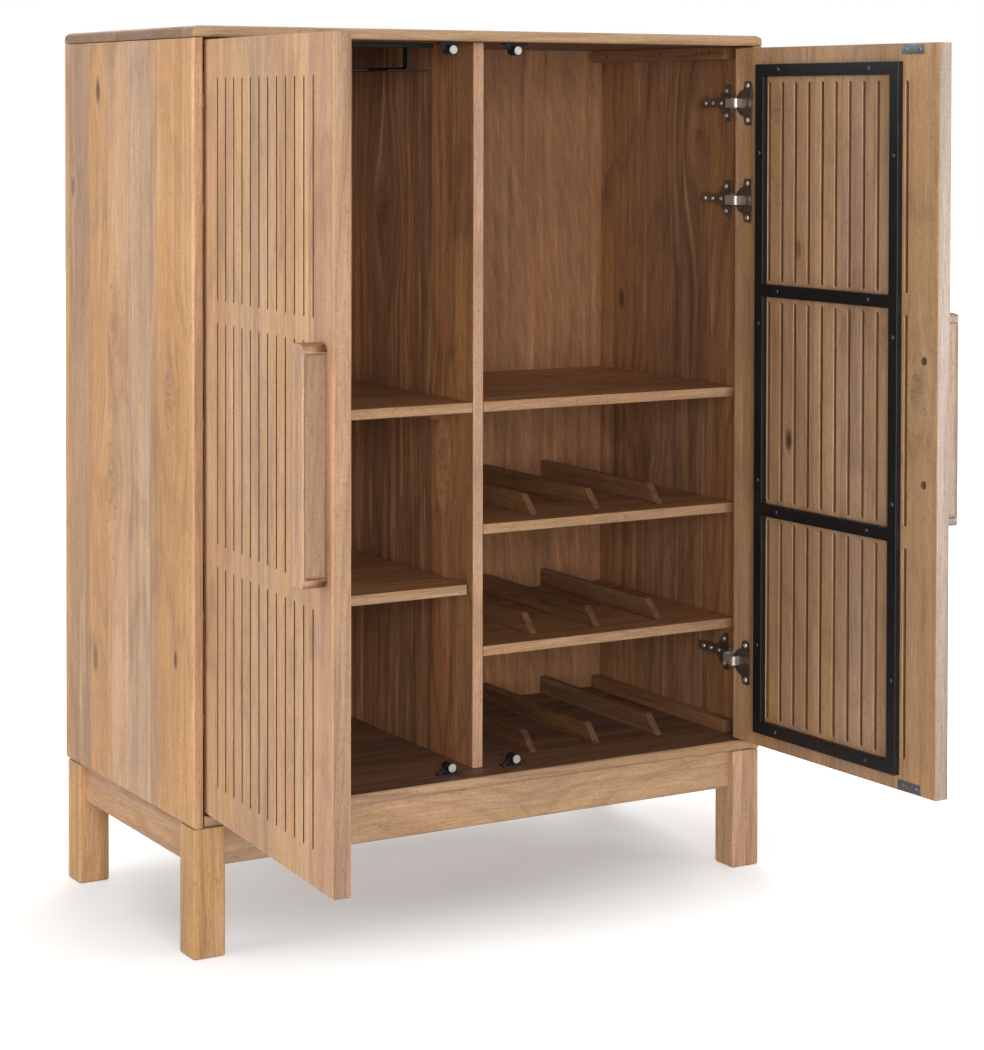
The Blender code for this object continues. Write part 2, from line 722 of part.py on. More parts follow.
def build_handle(side, axis):
    """A solid wood pull with round ends, whose free side is hollowed for the fingers."""
    u_low = DOOR_WIDTH - HANDLE_FROM_FREE_EDGE - HANDLE_WIDTH
    u_high = DOOR_WIDTH - HANDLE_FROM_FREE_EDGE
    z_low = DOOR_BOTTOM + HANDLE_FROM_BOTTOM
    z_high = z_low + HANDLE_LENGTH
    rounds = all_edges(HANDLE_EDGE_RADIUS)
    rounds.update(dict.fromkeys(("-0-", "-0+", "+0-", "+0+"), HANDLE_END_RADIUS))
    rounds.update(dict.fromkeys(("0+-", "0++", "-+0", "++0"), 0))
    handle = add_block(
        f"handle_{side}",
        in_door(u_low, -HANDLE_DEPTH, z_low),
        in_door(u_high, -SEAT_GAP, z_high),
        "oiled_wood",
        axis,
        rounds,
        segments=5,
    )
    name = f"finger_groove_{side}"
    groove, widest, segments = block_mesh(
        name,
        in_door(u_high - HANDLE_GROOVE_DEPTH, -HANDLE_DEPTH + HANDLE_GROOVE_LIP,
                z_low + HANDLE_GROOVE_FROM_END),
        in_door(u_high + OVERRUN, -HANDLE_GROOVE_RIM, z_high - HANDLE_GROOVE_FROM_END),
        dict.fromkeys(("-0-", "-0+", "--0", "-+0", "0--", "0-+", "0+-", "0++"), HANDLE_GROOVE_RADIUS),
    )
    cutter = add_cutter(name, groove, axis)
    bevel = cutter.modifiers.new("rounded_edges", "BEVEL")
    bevel.limit_method = "WEIGHT"
    bevel.width = widest
    bevel.segments = segments
    boolean(handle, cutter, "DIFFERENCE")


def build_hinge_cup(side, place, z, axis):
    """The cup in the door's bore, its screw flange, and the well that takes the link."""
    centre_u = CUP_FROM_HINGE_EDGE - AXIS_INSET
    name = f"hinge_cup_{side}_{place}"
    straight = FLANGE_STRAIGHT_EDGE
    half = FLANGE_HEIGHT / 2
    rim = CUP_RADIUS + SEAT_GAP + FLANGE_RIM
    ear = straight - FLANGE_EAR_WIDTH
    ears = rounded_path([(ear, -rim), (ear, -half), (straight, -half), (straight, half), (ear, half),
                         (ear, rim)], FLANGE_EAR_RADIUS, 3)
    outline = ears[1:-1] + arc((0, 0), rim, 95, 265, 12)
    face = DOOR_THICKNESS + SEAT_GAP - AXIS_DEPTH
    flange = plate_mesh(name, [outline], FLANGE_THICKNESS, ALONG_XZ,
                        (centre_u, face + FLANGE_THICKNESS / 2, z))
    cup = add_piece(name, flange, "nickel", axis)
    barrel = cylinder_mesh(
        f"cup_barrel_{side}_{place}",
        CUP_RADIUS,
        in_door(CUP_FROM_HINGE_EDGE, DOOR_THICKNESS - CUP_DEPTH, z),
        (centre_u, face + FLANGE_THICKNESS / 2, z),
        "y",
        20,
    )
    boolean(cup, add_cutter(barrel.name, barrel, axis), "UNION")
    well_half = LINK_HEIGHT / 2 + WELL_SIDE_GAP
    well, _, _ = block_mesh(
        f"cup_well_{side}_{place}",
        in_door(CUP_FROM_HINGE_EDGE - WELL_LENGTH / 2, DOOR_THICKNESS - CUP_DEPTH + CUP_FLOOR,
                z - well_half),
        in_door(CUP_FROM_HINGE_EDGE + WELL_LENGTH / 2, DOOR_THICKNESS + OVERRUN, z + well_half),
    )
    boolean(cup, add_cutter(well.name, well, axis), "DIFFERENCE")


def build_hinge_arm(side, place, z, hand):
    """The mounting plate on the side panel and the arm on it, which ends in a fork with its pin."""
    wall = -INNER_HALF + SEAT_GAP
    name = f"hinge_arm_{side}_{place}"
    plate_back = PLATE_FRONT + PLATE_LENGTH
    half = PLATE_HEIGHT / 2
    tail = ARM_TAIL_HEIGHT / 2
    wing = (plate_back - PLATE_FRONT) / 3
    butterfly = [(PLATE_FRONT, -half), (PLATE_FRONT + wing, -half), (plate_back, -tail),
                 (plate_back, tail), (PLATE_FRONT + wing, half), (PLATE_FRONT, half)]
    plate = plate_mesh(name, [rounded_path(butterfly, PLATE_THICKNESS, 2, closed=True)],
                       PLATE_THICKNESS, ALONG_YZ, (wall + PLATE_THICKNESS / 2, 0, z))
    arm = add_piece(name, plate, "nickel", hand)
    overlap = wall + PLATE_THICKNESS / 2
    top = -INNER_HALF + ARM_STANDOFF
    channel = top - ARM_CHANNEL_DEPTH
    front = LINK_PIN_BEHIND_FRONT - LINK_BARREL_RADIUS
    behind_pin = LINK_PIN_BEHIND_FRONT + LINK_BARREL_RADIUS
    nose_back = front + ARM_NOSE_LENGTH
    body, _, _ = block_mesh(
        f"arm_body_{side}_{place}",
        (overlap, (front + nose_back) / 2, z - tail),
        (channel - ARM_CHANNEL_DEPTH, ARM_BACK, z + tail),
    )
    boolean(arm, add_cutter(body.name, body, hand), "UNION")
    slot_half = LINK_HEIGHT / 2 + SEAT_GAP
    fork_half = slot_half + CHEEK_THICKNESS
    pin_x = -INNER_HALF + LINK_PIN_OFF_SIDE
    fork_outline = [
        (overlap, front),
        *arc((pin_x, LINK_PIN_BEHIND_FRONT), LINK_BARREL_RADIUS, -90, 90, 8),
        (top, behind_pin),
        (top, nose_back),
        (overlap, nose_back),
    ]
    fork = plate_mesh(f"arm_fork_{side}_{place}", [fork_outline], 2 * fork_half, ALONG_XY, (0, 0, z))
    boolean(arm, add_cutter(fork.name, fork, hand), "UNION")
    slot, _, _ = block_mesh(
        f"arm_slot_{side}_{place}",
        (channel, front - OVERRUN, z - slot_half),
        (pin_x + LINK_BARREL_RADIUS + OVERRUN, nose_back + OVERRUN, z + slot_half),
    )
    boolean(arm, add_cutter(slot.name, slot, hand), "DIFFERENCE")
    pin_half = slot_half + CHEEK_THICKNESS / 2
    pin = cylinder_mesh(f"arm_pin_{side}_{place}", LINK_PIN_RADIUS,
                        (pin_x, LINK_PIN_BEHIND_FRONT, z - pin_half),
                        (pin_x, LINK_PIN_BEHIND_FRONT, z + pin_half), "z", 10)
    boolean(arm, add_cutter(pin.name, pin, hand), "UNION")


def strip_outline(path, thickness):
    """The outline of a strip of even thickness along a path."""
    left, right = [], []
    for index, point in enumerate(path):
        before = Vector(path[max(index - 1, 0)])
        after = Vector(path[min(index + 1, len(path) - 1)])
        normal = (after - before).orthogonal().normalized() * (thickness / 2)
        left.append(tuple(Vector(point) + normal))
        right.append(tuple(Vector(point) - normal))
    return left + right[::-1]


def build_hinge_link(side, place, z, pivot):
    """The bent link: a barrel on the arm's pin, and a strip that reaches round into the cup."""
    name = f"hinge_link_{side}_{place}"
    towards_elbow = Vector(LINK_ELBOW_OFF_PIN).normalized()
    start = tuple(towards_elbow * (LINK_BORE_RADIUS + LINK_BARREL_RADIUS) / 2)
    path = rounded_path([start, LINK_ELBOW_OFF_PIN, LINK_KNEE_OFF_PIN, LINK_TIP_OFF_PIN],
                        LINK_BEND_RADIUS, 4)
    strip = plate_mesh(name, [strip_outline(path, LINK_THICKNESS)], LINK_HEIGHT, ALONG_XY, (0, 0, z))
    link = add_piece(name, strip, "bright_steel", pivot)
    barrel = plate_mesh(
        f"link_barrel_{side}_{place}",
        [arc((0, 0), LINK_BARREL_RADIUS, 0, 330, 11), arc((0, 0), LINK_BORE_RADIUS, 0, 330, 11)],
        LINK_HEIGHT,
        ALONG_XY,
        (0, 0, z),
    )
    boolean(link, add_cutter(barrel.name, barrel, pivot), "UNION")


def build_doors():
    """Each door on its hinge axis, opened to its rest angle, with its frame, handle and hinges."""
    open_angles = {"left": LEFT_DOOR_OPEN_ANGLE, "right": RIGHT_DOOR_OPEN_ANGLE}
    for side, hand in SIDES.items():
        axis = add_empty(f"door_axis_{side}", (-AXIS_X, AXIS_Y, 0), hand)
        axis.rotation_euler.z = -open_angles[side]
        pin_x = -INNER_HALF + LINK_PIN_OFF_SIDE
        pivot = add_empty(f"link_axis_{side}", (pin_x, LINK_PIN_BEHIND_FRONT, 0), hand)
        pivot.rotation_euler.z = LINK_TURN_SHARE * (LINK_DRAWN_AT_DOOR_ANGLE - open_angles[side])
        build_door(side, axis)
        build_door_frame(side, axis)
        build_handle(side, axis)
        for place, z in HINGE_HEIGHTS.items():
            build_hinge_cup(side, place, z, axis)
            build_hinge_arm(side, place, z, hand)
            build_hinge_link(side, place, z, pivot)


def build_catches():
    """Magnetic catches under the top and on the bottom panel, behind the doors' strike plates."""
    front = DOOR_INNER_Y + STRIKE_THICKNESS + CATCH_AIR_GAP
    x = -CATCH_FROM_MIDDLE
    for side, hand in SIDES.items():
        for place, surface, up in (("bottom", FLOOR, 1), ("top", CEILING, -1)):
            name = f"catch_{side}_{place}"
            base_z = surface + up * SEAT_GAP
            middle_z = surface + up * CATCH_AXIS_HEIGHT
            base_y = front + CATCH_BASE_SETBACK
            low_z, high_z = sorted((base_z, base_z + up * CATCH_BASE_THICKNESS))
            mesh, _, _ = block_mesh(
                name,
                (x - CATCH_BASE_WIDTH / 2, base_y, low_z),
                (x + CATCH_BASE_WIDTH / 2, base_y + CATCH_BASE_DEPTH, high_z),
            )
            catch = add_piece(name, mesh, "black_plastic", hand)
            body = cylinder_mesh(f"catch_body_{side}_{place}", CATCH_RADIUS, (x, front, middle_z),
                                 (x, front + CATCH_LENGTH, middle_z), "y", 20)
            boolean(catch, add_cutter(body.name, body, hand), "UNION")
            half = CATCH_BASE_WIDTH / 2 - CATCH_BASE_THICKNESS
            inner = base_z + up * CATCH_BASE_THICKNESS / 2
            outline = [(x - half, inner), (x + half, inner),
                       (x + CATCH_RADIUS, middle_z), (x - CATCH_RADIUS, middle_z)]
            web = plate_mesh(f"catch_web_{side}_{place}", [outline], CATCH_WEB_THICKNESS, ALONG_XZ,
                             (0, base_y + CATCH_BASE_DEPTH - CATCH_WEB_THICKNESS, 0))
            boolean(catch, add_cutter(web.name, web, hand), "UNION")


def build_stemware_rack():
    """Four upside-down T rails that hang glasses by the foot, on a front and a rear bar."""
    back = BACK_FACE - RACK_BACK_CLEARANCE
    bar_top = CEILING - SEAT_GAP
    last = -RAIL_FROM_MIDDLE
    first = last - (RAIL_COUNT - 1) * RAIL_PITCH
    mesh, _, _ = block_mesh(
        "stemware_rack",
        (first - RACK_BAR_OVERHANG, RAIL_FRONT, bar_top - RACK_BAR_HEIGHT),
        (last + RACK_BAR_OVERHANG, RAIL_FRONT + RACK_BAR_DEPTH, bar_top),
    )
    rack = add_piece("stemware_rack", mesh, "black_steel", ROOT)
    rear, _, _ = block_mesh(
        "rack_rear_bar",
        (first - RACK_BAR_OVERHANG, back - RACK_BAR_DEPTH, bar_top - RACK_BAR_HEIGHT),
        (last + RACK_BAR_OVERHANG, back, bar_top),
    )
    boolean(rack, add_cutter("rack_rear_bar", rear, ROOT), "UNION")
    web = RAIL_WEB_THICKNESS / 2
    flange = RAIL_FLANGE_WIDTH / 2
    low = CEILING - RAIL_DROP
    high = low + RAIL_FLANGE_THICKNESS
    radius = RAIL_FILLET_RADIUS
    right_half = [
        (flange, low),
        (flange, high),
        *arc((web + radius, high + radius), radius, 270, 180, 4),
        (web, bar_top - RACK_BAR_HEIGHT / 2),
    ]
    profile = right_half + [(-x, z) for x, z in reversed(right_half)]
    length = back - RAIL_FRONT - 2 * SEAT_GAP
    for number in range(RAIL_COUNT):
        x = first + number * RAIL_PITCH
        rail = plate_mesh(f"rack_rail_{number + 1}", [profile], length, ALONG_XZ,
                          (x, (RAIL_FRONT + back) / 2, 0))
        boolean(rack, add_cutter(rail.name, rail, ROOT), "UNION")


def centre_on_floor():
    """Move the cabinet so that the bottom centre of its bounding box is the origin."""
    bpy.context.view_layer.update()
    graph = bpy.context.evaluated_depsgraph_get()
    corners = []
    for piece in PARTS.objects:
        if piece.type == "MESH":
            evaluated = piece.evaluated_get(graph)
            corners += [evaluated.matrix_world @ vertex.co for vertex in evaluated.data.vertices]
    low = Vector(min(corner[axis] for corner in corners) for axis in range(3))
    high = Vector(max(corner[axis] for corner in corners) for axis in range(3))
    ROOT.location -= Vector(((low.x + high.x) / 2, (low.y + high.y) / 2, low.z))


clear_scene()
PARTS = new_collection("bar_cabinet")
CUTTERS = new_collection("cutters")
ROOT = add_empty("bar_cabinet", (0, 0, 0))
# The right-hand pieces are the left-hand ones seen in a mirror at the middle plane.
SIDES = {"left": add_empty("left_side", (0, 0, 0), ROOT), "right": add_empty("right_side", (0, 0, 0), ROOT)}
SIDES["right"].scale.x = -1

build_case()
build_base()
build_shelves()
build_cleats()
build_bottle_dividers()
build_doors()
build_catches()
build_stemware_rack()
centre_on_floor()
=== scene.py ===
# %% [markdown]
# # A bar cabinet with slotted doors, dressed over its CAD frame
#
# The cabinet is solid mango wood on four square legs. Two slotted doors stand open on concealed
# hinges, with black steel frames on their backs. The CAD frame already has every piece at its real
# size and place. This lesson gives the pieces their finishes, softens their edges and adds the
# small hardware, such as screws and magnet faces.

# %% Load the frame
import json
import math

import bmesh
import bpy
from mathutils import Matrix, Vector


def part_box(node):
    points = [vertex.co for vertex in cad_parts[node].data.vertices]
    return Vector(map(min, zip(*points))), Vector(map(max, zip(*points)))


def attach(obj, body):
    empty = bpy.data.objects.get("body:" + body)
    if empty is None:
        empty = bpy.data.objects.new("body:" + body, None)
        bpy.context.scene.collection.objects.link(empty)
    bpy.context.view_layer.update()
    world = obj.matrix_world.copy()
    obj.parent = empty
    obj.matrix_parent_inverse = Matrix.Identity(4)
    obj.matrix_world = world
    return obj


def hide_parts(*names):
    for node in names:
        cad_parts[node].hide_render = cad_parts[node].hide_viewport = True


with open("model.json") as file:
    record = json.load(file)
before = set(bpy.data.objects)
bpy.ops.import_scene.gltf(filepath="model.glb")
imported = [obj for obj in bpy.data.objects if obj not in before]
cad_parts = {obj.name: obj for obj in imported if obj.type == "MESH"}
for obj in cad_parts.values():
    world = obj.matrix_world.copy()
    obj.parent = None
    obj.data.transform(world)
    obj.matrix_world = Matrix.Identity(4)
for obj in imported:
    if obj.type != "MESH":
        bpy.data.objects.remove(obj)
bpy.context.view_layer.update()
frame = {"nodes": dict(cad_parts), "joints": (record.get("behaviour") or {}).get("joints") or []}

# %% [markdown]
# ## Three small helpers
#
# Screens show sRGB colours and shaders work with linear light, so a hex colour is turned to linear
# once, here. Materials are made of nodes. One helper adds a node, sets it up and links it, and
# another fills a colour ramp.

# %% Colours and nodes
MM = 0.001


def hex_colour(code):
    """A colour written as sRGB hex, as the linear values that a shader reads."""
    shares = [byte / 255 for byte in bytes.fromhex(code)]
    linear = [s / 12.92 if s <= 0.04045 else ((s + 0.055) / 1.055) ** 2.4 for s in shares]
    return (*linear, 1)


def add_node(tree, kind, sockets=None, **settings):
    """Add a node with its settings. Each socket, by name or number, gets a value or a link."""
    made = tree.nodes.new(kind)
    for name, value in settings.items():
        setattr(made, name, value)
    for key, value in (sockets or {}).items():
        if isinstance(value, bpy.types.NodeSocket):
            tree.links.new(value, made.inputs[key])
        else:
            made.inputs[key].default_value = value
    return made


def set_ramp(ramp_node, stops):
    """Give a colour ramp its stops, each a position and a linear colour."""
    ramp = ramp_node.color_ramp
    while len(ramp.elements) < len(stops):
        ramp.elements.new(0.5)
    for element, (position, colour) in zip(ramp.elements, stops):
        element.position = position
        element.color = colour


print("white is", hex_colour("FFFFFF")[:3])

# %% [markdown]
# ## Where things are
#
# Hardware is easiest to place in the coordinates of what carries it. The case is measured from its
# middle, back from its front plane and up from the floor. A door is measured along its width from
# the hinge edge, from its outer face inwards, and up from the floor, whatever angle it stands at.
# Each side's matrix takes such a place to the world. The right side is the left one in a mirror.

# %% Case and door coordinates
MIRRORS = {"left": Matrix.Identity(4), "right": Matrix.Scale(-1, 4, (1, 0, 0))}
AXIS_FROM_HINGE_EDGE = 5 * MM
AXIS_FROM_OUTER_FACE = 4 * MM

left_corner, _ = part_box("side_panel_left")
_, right_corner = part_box("side_panel_right")
CASE_PLACE = Vector(((left_corner.x + right_corner.x) / 2, left_corner.y, 0))

CASE_SPACE = {}
DOOR_SPACE = {}
OPEN_ANGLE = {}
for joint in frame["joints"]:
    side = joint["name"].split("_")[1]
    if joint["name"] == f"door_{side}_hinge":
        OPEN_ANGLE[side] = math.radians(-joint["range_deg"][0])
        axis_x, axis_y, _ = joint["pos_m"]
        CASE_SPACE[side] = Matrix.Translation(CASE_PLACE) @ MIRRORS[side]
        DOOR_SPACE[side] = (
            Matrix.Translation((axis_x, axis_y, 0))
            @ MIRRORS[side]
            @ Matrix.Rotation(-OPEN_ANGLE[side], 4, "Z")
            @ Matrix.Translation((-AXIS_FROM_HINGE_EDGE, -AXIS_FROM_OUTER_FACE, 0))
        )
print({side: round(math.degrees(angle), 1) for side, angle in OPEN_ANGLE.items()}, "degrees open")

# %% [markdown]
# ## Camera
#
# The photograph was taken from the left, with the lens a little below the cabinet's top. The
# camera stands at the same place. The picture is only the lower part of the lens's full view, so
# the camera keeps its level line and is shifted down, which keeps upright lines upright.

# %% Camera
PHOTO_WIDTH = 984
PHOTO_HEIGHT = 1050
FOCAL_PIXELS = 2674.5
LEVEL_ROW = 172.8
SENSOR = 36.0


def add_object(name, data):
    """A new object in the scene with this mesh, lamp or camera."""
    made = bpy.data.objects.new(name, data)
    bpy.context.scene.collection.objects.link(made)
    return made


camera_data = bpy.data.cameras.new("camera")
camera_data.sensor_fit = "HORIZONTAL"
camera_data.sensor_width = SENSOR
camera_data.lens = FOCAL_PIXELS / PHOTO_WIDTH * SENSOR
camera_data.shift_y = (LEVEL_ROW - PHOTO_HEIGHT / 2) / PHOTO_WIDTH
camera = add_object("camera", camera_data)
camera.matrix_world = (
    Matrix.Translation(CASE_PLACE + Vector((-1.7795, -3.0406, 1.0604)))
    @ Matrix.Rotation(math.radians(-30.27), 4, "Z")
    @ Matrix.Rotation(math.radians(90 - 1.34), 4, "X")
    @ Matrix.Rotation(math.radians(0.11), 4, "Z")
)
bpy.context.scene.camera = camera
print(f"lens {camera_data.lens:.1f} mm, shift {camera_data.shift_y:.3f}")

# %% [markdown]
# ## Studio
#
# A plain studio has a pale floor, a white surround and soft lamps. The surround is white where the
# camera or a reflection sees it, and gives less light than it shows, so the bays stay darker than
# the outside. The floor keeps the shadow, and inside an oval round the cabinet's foot it glows only
# a little, which paints a soft shade there. Outwards from there it glows more and more for the
# camera, until it is white.

# %% Floor and surround
OVAL_MIDDLE = 0.20
OVAL_HALF_WIDTH = 0.45
OVAL_HALF_DEPTH = 0.24


def to_mesh(bm, name):
    """The mesh of a finished shape."""
    mesh = bpy.data.meshes.new(name)
    bm.to_mesh(mesh)
    bm.free()
    return mesh


def make_floor():
    """A wide pale floor that keeps the cabinet's soft shadow, with a painted soft shade round its
    foot.
    """
    bm = bmesh.new()
    bmesh.ops.create_grid(bm, x_segments=1, y_segments=1, size=14)
    bmesh.ops.translate(bm, vec=(0, 0, -0.2 * MM), verts=bm.verts)
    floor = add_object("floor", to_mesh(bm, "floor"))
    material = bpy.data.materials.new("studio_floor")
    material.use_nodes = True
    tree = material.node_tree
    tree.nodes.clear()
    place = add_node(tree, "ShaderNodeTexCoord")
    oval = add_node(tree, "ShaderNodeMapping",
                    {"Vector": place.outputs["Object"],
                     "Location": (0, -OVAL_MIDDLE / OVAL_HALF_DEPTH, 0),
                     "Scale": (1 / OVAL_HALF_WIDTH, 1 / OVAL_HALF_DEPTH, 1)})
    far = add_node(tree, "ShaderNodeVectorMath", {0: oval.outputs[0]}, operation="LENGTH")
    # The glow is weakest inside the oval, a painted shade round the cabinet's foot.
    lift = add_node(tree, "ShaderNodeMapRange",
                    {"Value": far.outputs["Value"], "From Min": 0.35, "From Max": 2.7,
                     "To Min": 0.21, "To Max": 1.0}, interpolation_type="SMOOTHSTEP")
    path = add_node(tree, "ShaderNodeLightPath")
    seen = add_node(tree, "ShaderNodeMath", {0: path.outputs["Is Camera Ray"], 1: lift.outputs[0]},
                    operation="MULTIPLY")
    paint = add_node(tree, "ShaderNodeBsdfDiffuse", {"Color": hex_colour("E6E6E6")})
    glow = add_node(tree, "ShaderNodeEmission", {"Strength": seen.outputs[0]})
    both = add_node(tree, "ShaderNodeAddShader", {0: paint.outputs[0], 1: glow.outputs[0]})
    add_node(tree, "ShaderNodeOutputMaterial", {"Surface": both.outputs[0]})
    floor.data.materials.append(material)


def light_world(strength):
    """A white surround that is dimmer as a light than as a background."""
    world = bpy.data.worlds.new("studio")
    world.use_nodes = True
    tree = world.node_tree
    tree.nodes.clear()
    path = add_node(tree, "ShaderNodeLightPath")
    seen = add_node(tree, "ShaderNodeMath",
                    {0: path.outputs["Is Camera Ray"], 1: path.outputs["Is Glossy Ray"]},
                    operation="MAXIMUM")
    seen = add_node(tree, "ShaderNodeMath",
                    {0: seen.outputs[0], 1: path.outputs["Is Transmission Ray"]},
                    operation="MAXIMUM")
    level = add_node(tree, "ShaderNodeMapRange",
                     {"Value": seen.outputs[0], "To Min": strength, "To Max": 1.0})
    surround = add_node(tree, "ShaderNodeBackground",
                        {"Color": hex_colour("FFFFFF"), "Strength": level.outputs[0]})
    add_node(tree, "ShaderNodeOutputWorld", {"Surface": surround.outputs[0]})
    bpy.context.scene.world = world


make_floor()
light_world(0.30)
print("a floor and a white surround")

# %% [markdown]
# The key lamp is large and stands low in front, so back faces are lighter than the tops of shelves.
# One lamp at the left reaches only the outside of the cabinet, a weak one at the right brightens
# front edges, one behind shows the back and draws the shadow on the floor forwards, and a weak one
# overhead lights the top.

# %% Lamps
CABINET_MIDDLE = Vector((0, 0, 0.6))
# Place and size in metres, power in watts.
LAMPS = {
    "key_lamp": ((-1.6, -4.2, 1.15), 2.0, 126),
    "side_lamp": ((-4.2, 0.1, 0.9), 2.2, 70),
    "right_lamp": ((3.0, -2.6, 1.3), 1.6, 18),
    "back_lamp": ((1.6, 3.8, 1.5), 2.2, 60),
    "top_lamp": ((0.3, 0.9, 3.6), 2.0, 34),
}


def add_lamp(name, place, size, power):
    """A soft square lamp that faces the cabinet."""
    data = bpy.data.lights.new(name, "AREA")
    data.shape = "SQUARE"
    data.size = size
    data.energy = power
    lamp = add_object(name, data)
    lamp.location = place
    facing = CABINET_MIDDLE - Vector(place)
    lamp.rotation_euler = facing.to_track_quat("-Z", "Y").to_euler()


for name, (place, size, power) in LAMPS.items():
    add_lamp(name, place, size, power)
bpy.context.scene.view_settings.view_transform = "Standard"
print(len(LAMPS), "soft lamps")

# %% [markdown]
# ## Mango wood
#
# Mango is a light hardwood with a pink to golden tone, wandering streaks and short dark pores. The
# panels are glued up from boards of 50 to 110 mm, each with a tone of its own. Wood is solid, so
# its pattern is too: one pattern fills the whole board and shows on every side of it, with long
# streaks along the grain and dots on the cut ends. A picture laid on each side couldn't do that.
#
# The pattern is read in three directions: across the boards, through their thickness and along the
# grain. Growth rings are noise that depends only on the distance to the middle of the trunk. The
# middle leans a little against the board, which gives the pointed arches of a flat-sawn board. Cut
# ends drink more oil than the sides, so a face square to the grain is darker.

# %% Tones of the wood
PICKS = {
    "outer": dict(boards=("CDA378", "BE9373", "D6AE83", "B48E70", "CB9963", "C5A183"),
                  gold="CF9B60", pink="B98C77", light="DFC098", dark="80573A"),
    # The inner and shaded picks are darker partly as wood and partly as painted shade of the bays.
    "inner": dict(boards=("A9764E", "946745", "B58157", "865D40", "A67145", "9A7050"),
                  gold="B17C4C", pink="8E614A", light="BE8F65", dark="583925"),
    "shaded": dict(boards=("8C654A", "7A5640", "996E4D", "6E4E3A", "8F653F", "7E5E4A"),
                   gold="946A43", pink="755446", light="A98464", dark="452E21"),
    "pull": dict(boards=("C49C7C", "BA9173", "CAA385"),
                 gold="C99A6B", pink="B68C78", light="D6B395", dark="8A6148"),
    # The pale pick is a painted highlight on the right door's free edge and pull.
    "pale": dict(boards=("CDB8A8", "C5AE9E"), gold="CAB195", pink="C2A89B", light="D8C8BA",
                 dark="A08370"),
    # Painted shade for the walls of the slots and the pits.
    "slot_shade": dict(boards=("8A6446", "775439"), gold="8A6446", pink="775439", light="8A6446",
                   dark="5E402B"),
}
PORE = "6A4730"
KNOT = "4A2C1C"
MIX_FROM, MIX_TO, MIXED = 6, 7, 2


def mix_colour(tree, share, under, over):
    """The colour under with a share of the hex colour over."""
    mixed = add_node(tree, "ShaderNodeMix", {0: share, MIX_FROM: under, MIX_TO: hex_colour(over)},
                     data_type="RGBA")
    return mixed.outputs[MIXED]


def band_mask(tree, value, start, end, strength):
    """A mask that is 0 where the value is at start and rises to its strength at end."""
    mask = add_node(tree, "ShaderNodeMapRange",
                    {"Value": value, "From Min": start, "From Max": end, "To Max": strength})
    return mask.outputs[0]


print(len(PICKS), "picks of tones")

# %% [markdown]
# A knot is where a branch grew out of the trunk. The grain flows round it, so the coordinate across
# the board is squeezed towards the knot's middle, and the knot itself is a dark spot, about twice
# as long as it is wide. A weak and large one is the swirl over a knot that lies deeper.

# %% Grain that bends round knots
KNOT_REACH = 3.4
KNOT_SHORTENING = 0.45


def bend_round_knots(tree, across, along, knots):
    """The coordinate across the grain bent round each knot, and the knots' mask."""
    mask = None
    for knot_across, knot_along, radius, strength in knots:
        off = add_node(tree, "ShaderNodeMath", {0: across, 1: knot_across}, operation="SUBTRACT")
        up = add_node(tree, "ShaderNodeMath", {0: along, 1: knot_along}, operation="SUBTRACT")
        wide = add_node(tree, "ShaderNodeMath", {0: off.outputs[0], 1: 1 / radius},
                        operation="MULTIPLY")
        tall = add_node(tree, "ShaderNodeMath", {0: up.outputs[0], 1: KNOT_SHORTENING / radius},
                        operation="MULTIPLY")
        spot = add_node(tree, "ShaderNodeCombineXYZ", {0: wide.outputs[0], 1: tall.outputs[0]})
        far = add_node(tree, "ShaderNodeVectorMath", {0: spot.outputs[0]}, operation="LENGTH")
        pull = add_node(tree, "ShaderNodeMapRange",
                        {"Value": far.outputs["Value"], "From Min": 0.3, "From Max": KNOT_REACH,
                         "To Min": 0.95, "To Max": 0.0}, interpolation_type="SMOOTHSTEP")
        bend = add_node(tree, "ShaderNodeMath", {0: off.outputs[0], 1: pull.outputs[0]},
                        operation="MULTIPLY")
        across = add_node(tree, "ShaderNodeMath", {0: across, 1: bend.outputs[0]},
                          operation="SUBTRACT").outputs[0]
        shade = add_node(tree, "ShaderNodeMapRange",
                         {"Value": far.outputs["Value"], "From Min": 0.2, "From Max": 1.15,
                          "To Min": strength, "To Max": 0.0}, interpolation_type="SMOOTHERSTEP")
        if mask:
            shade = add_node(tree, "ShaderNodeMath", {0: shade.outputs[0], 1: mask},
                             operation="MAXIMUM")
        mask = shade.outputs[0]
    return across, mask


print("a knot bends the grain out to", KNOT_REACH, "times its radius")

# %% [markdown]
# Boards come from a one-dimensional cell pattern across the panel, which gives each board a random
# triple: its piece of the tree, its rings' middle and its tone. Its rings lie in groups 9 mm apart.
# The other marks are noise, stretched along the grain, as long and as wide as on the real wood.
# Streaks are 12 mm wide and fibres 1.8 mm. Pores are drawn 1.3 by 7 mm, because real ones are a
# quarter as wide and wouldn't show. Ripples are short bands across the grain, in patches.

# %% Boards, rings and grain
STEPS_IN_TREE = (0.9, 1.3, 5.1)
CLOUDS_PER_METRE = (14.0, 14.0, 3.2)
STREAKS_WANDER = 12 * MM
PITH_SHIFT = 60 * MM
PITH_DEPTH = 350 * MM
PITH_LEAN = 1 / 16
RING_GROUP = 9 * MM
# Width, length along the grain, detail and roughness.
MARKS = {
    "streaks": (12 * MM, 420 * MM, 4.5, 0.66),
    "tints": (15 * MM, 700 * MM, 3.0, 0.6),
    "fibres": (1.8 * MM, 40 * MM, 2.0, 0.6),
    "pores": (1.3 * MM, 7 * MM, 1.0, 0.6),
    "ripples": (13 * MM, 2.4 * MM, 1.0, 0.6),
    "patches": (26 * MM, 85 * MM, 1.0, 0.6),
    "flames": (7 * MM, 55 * MM, 2.0, 0.6),
}


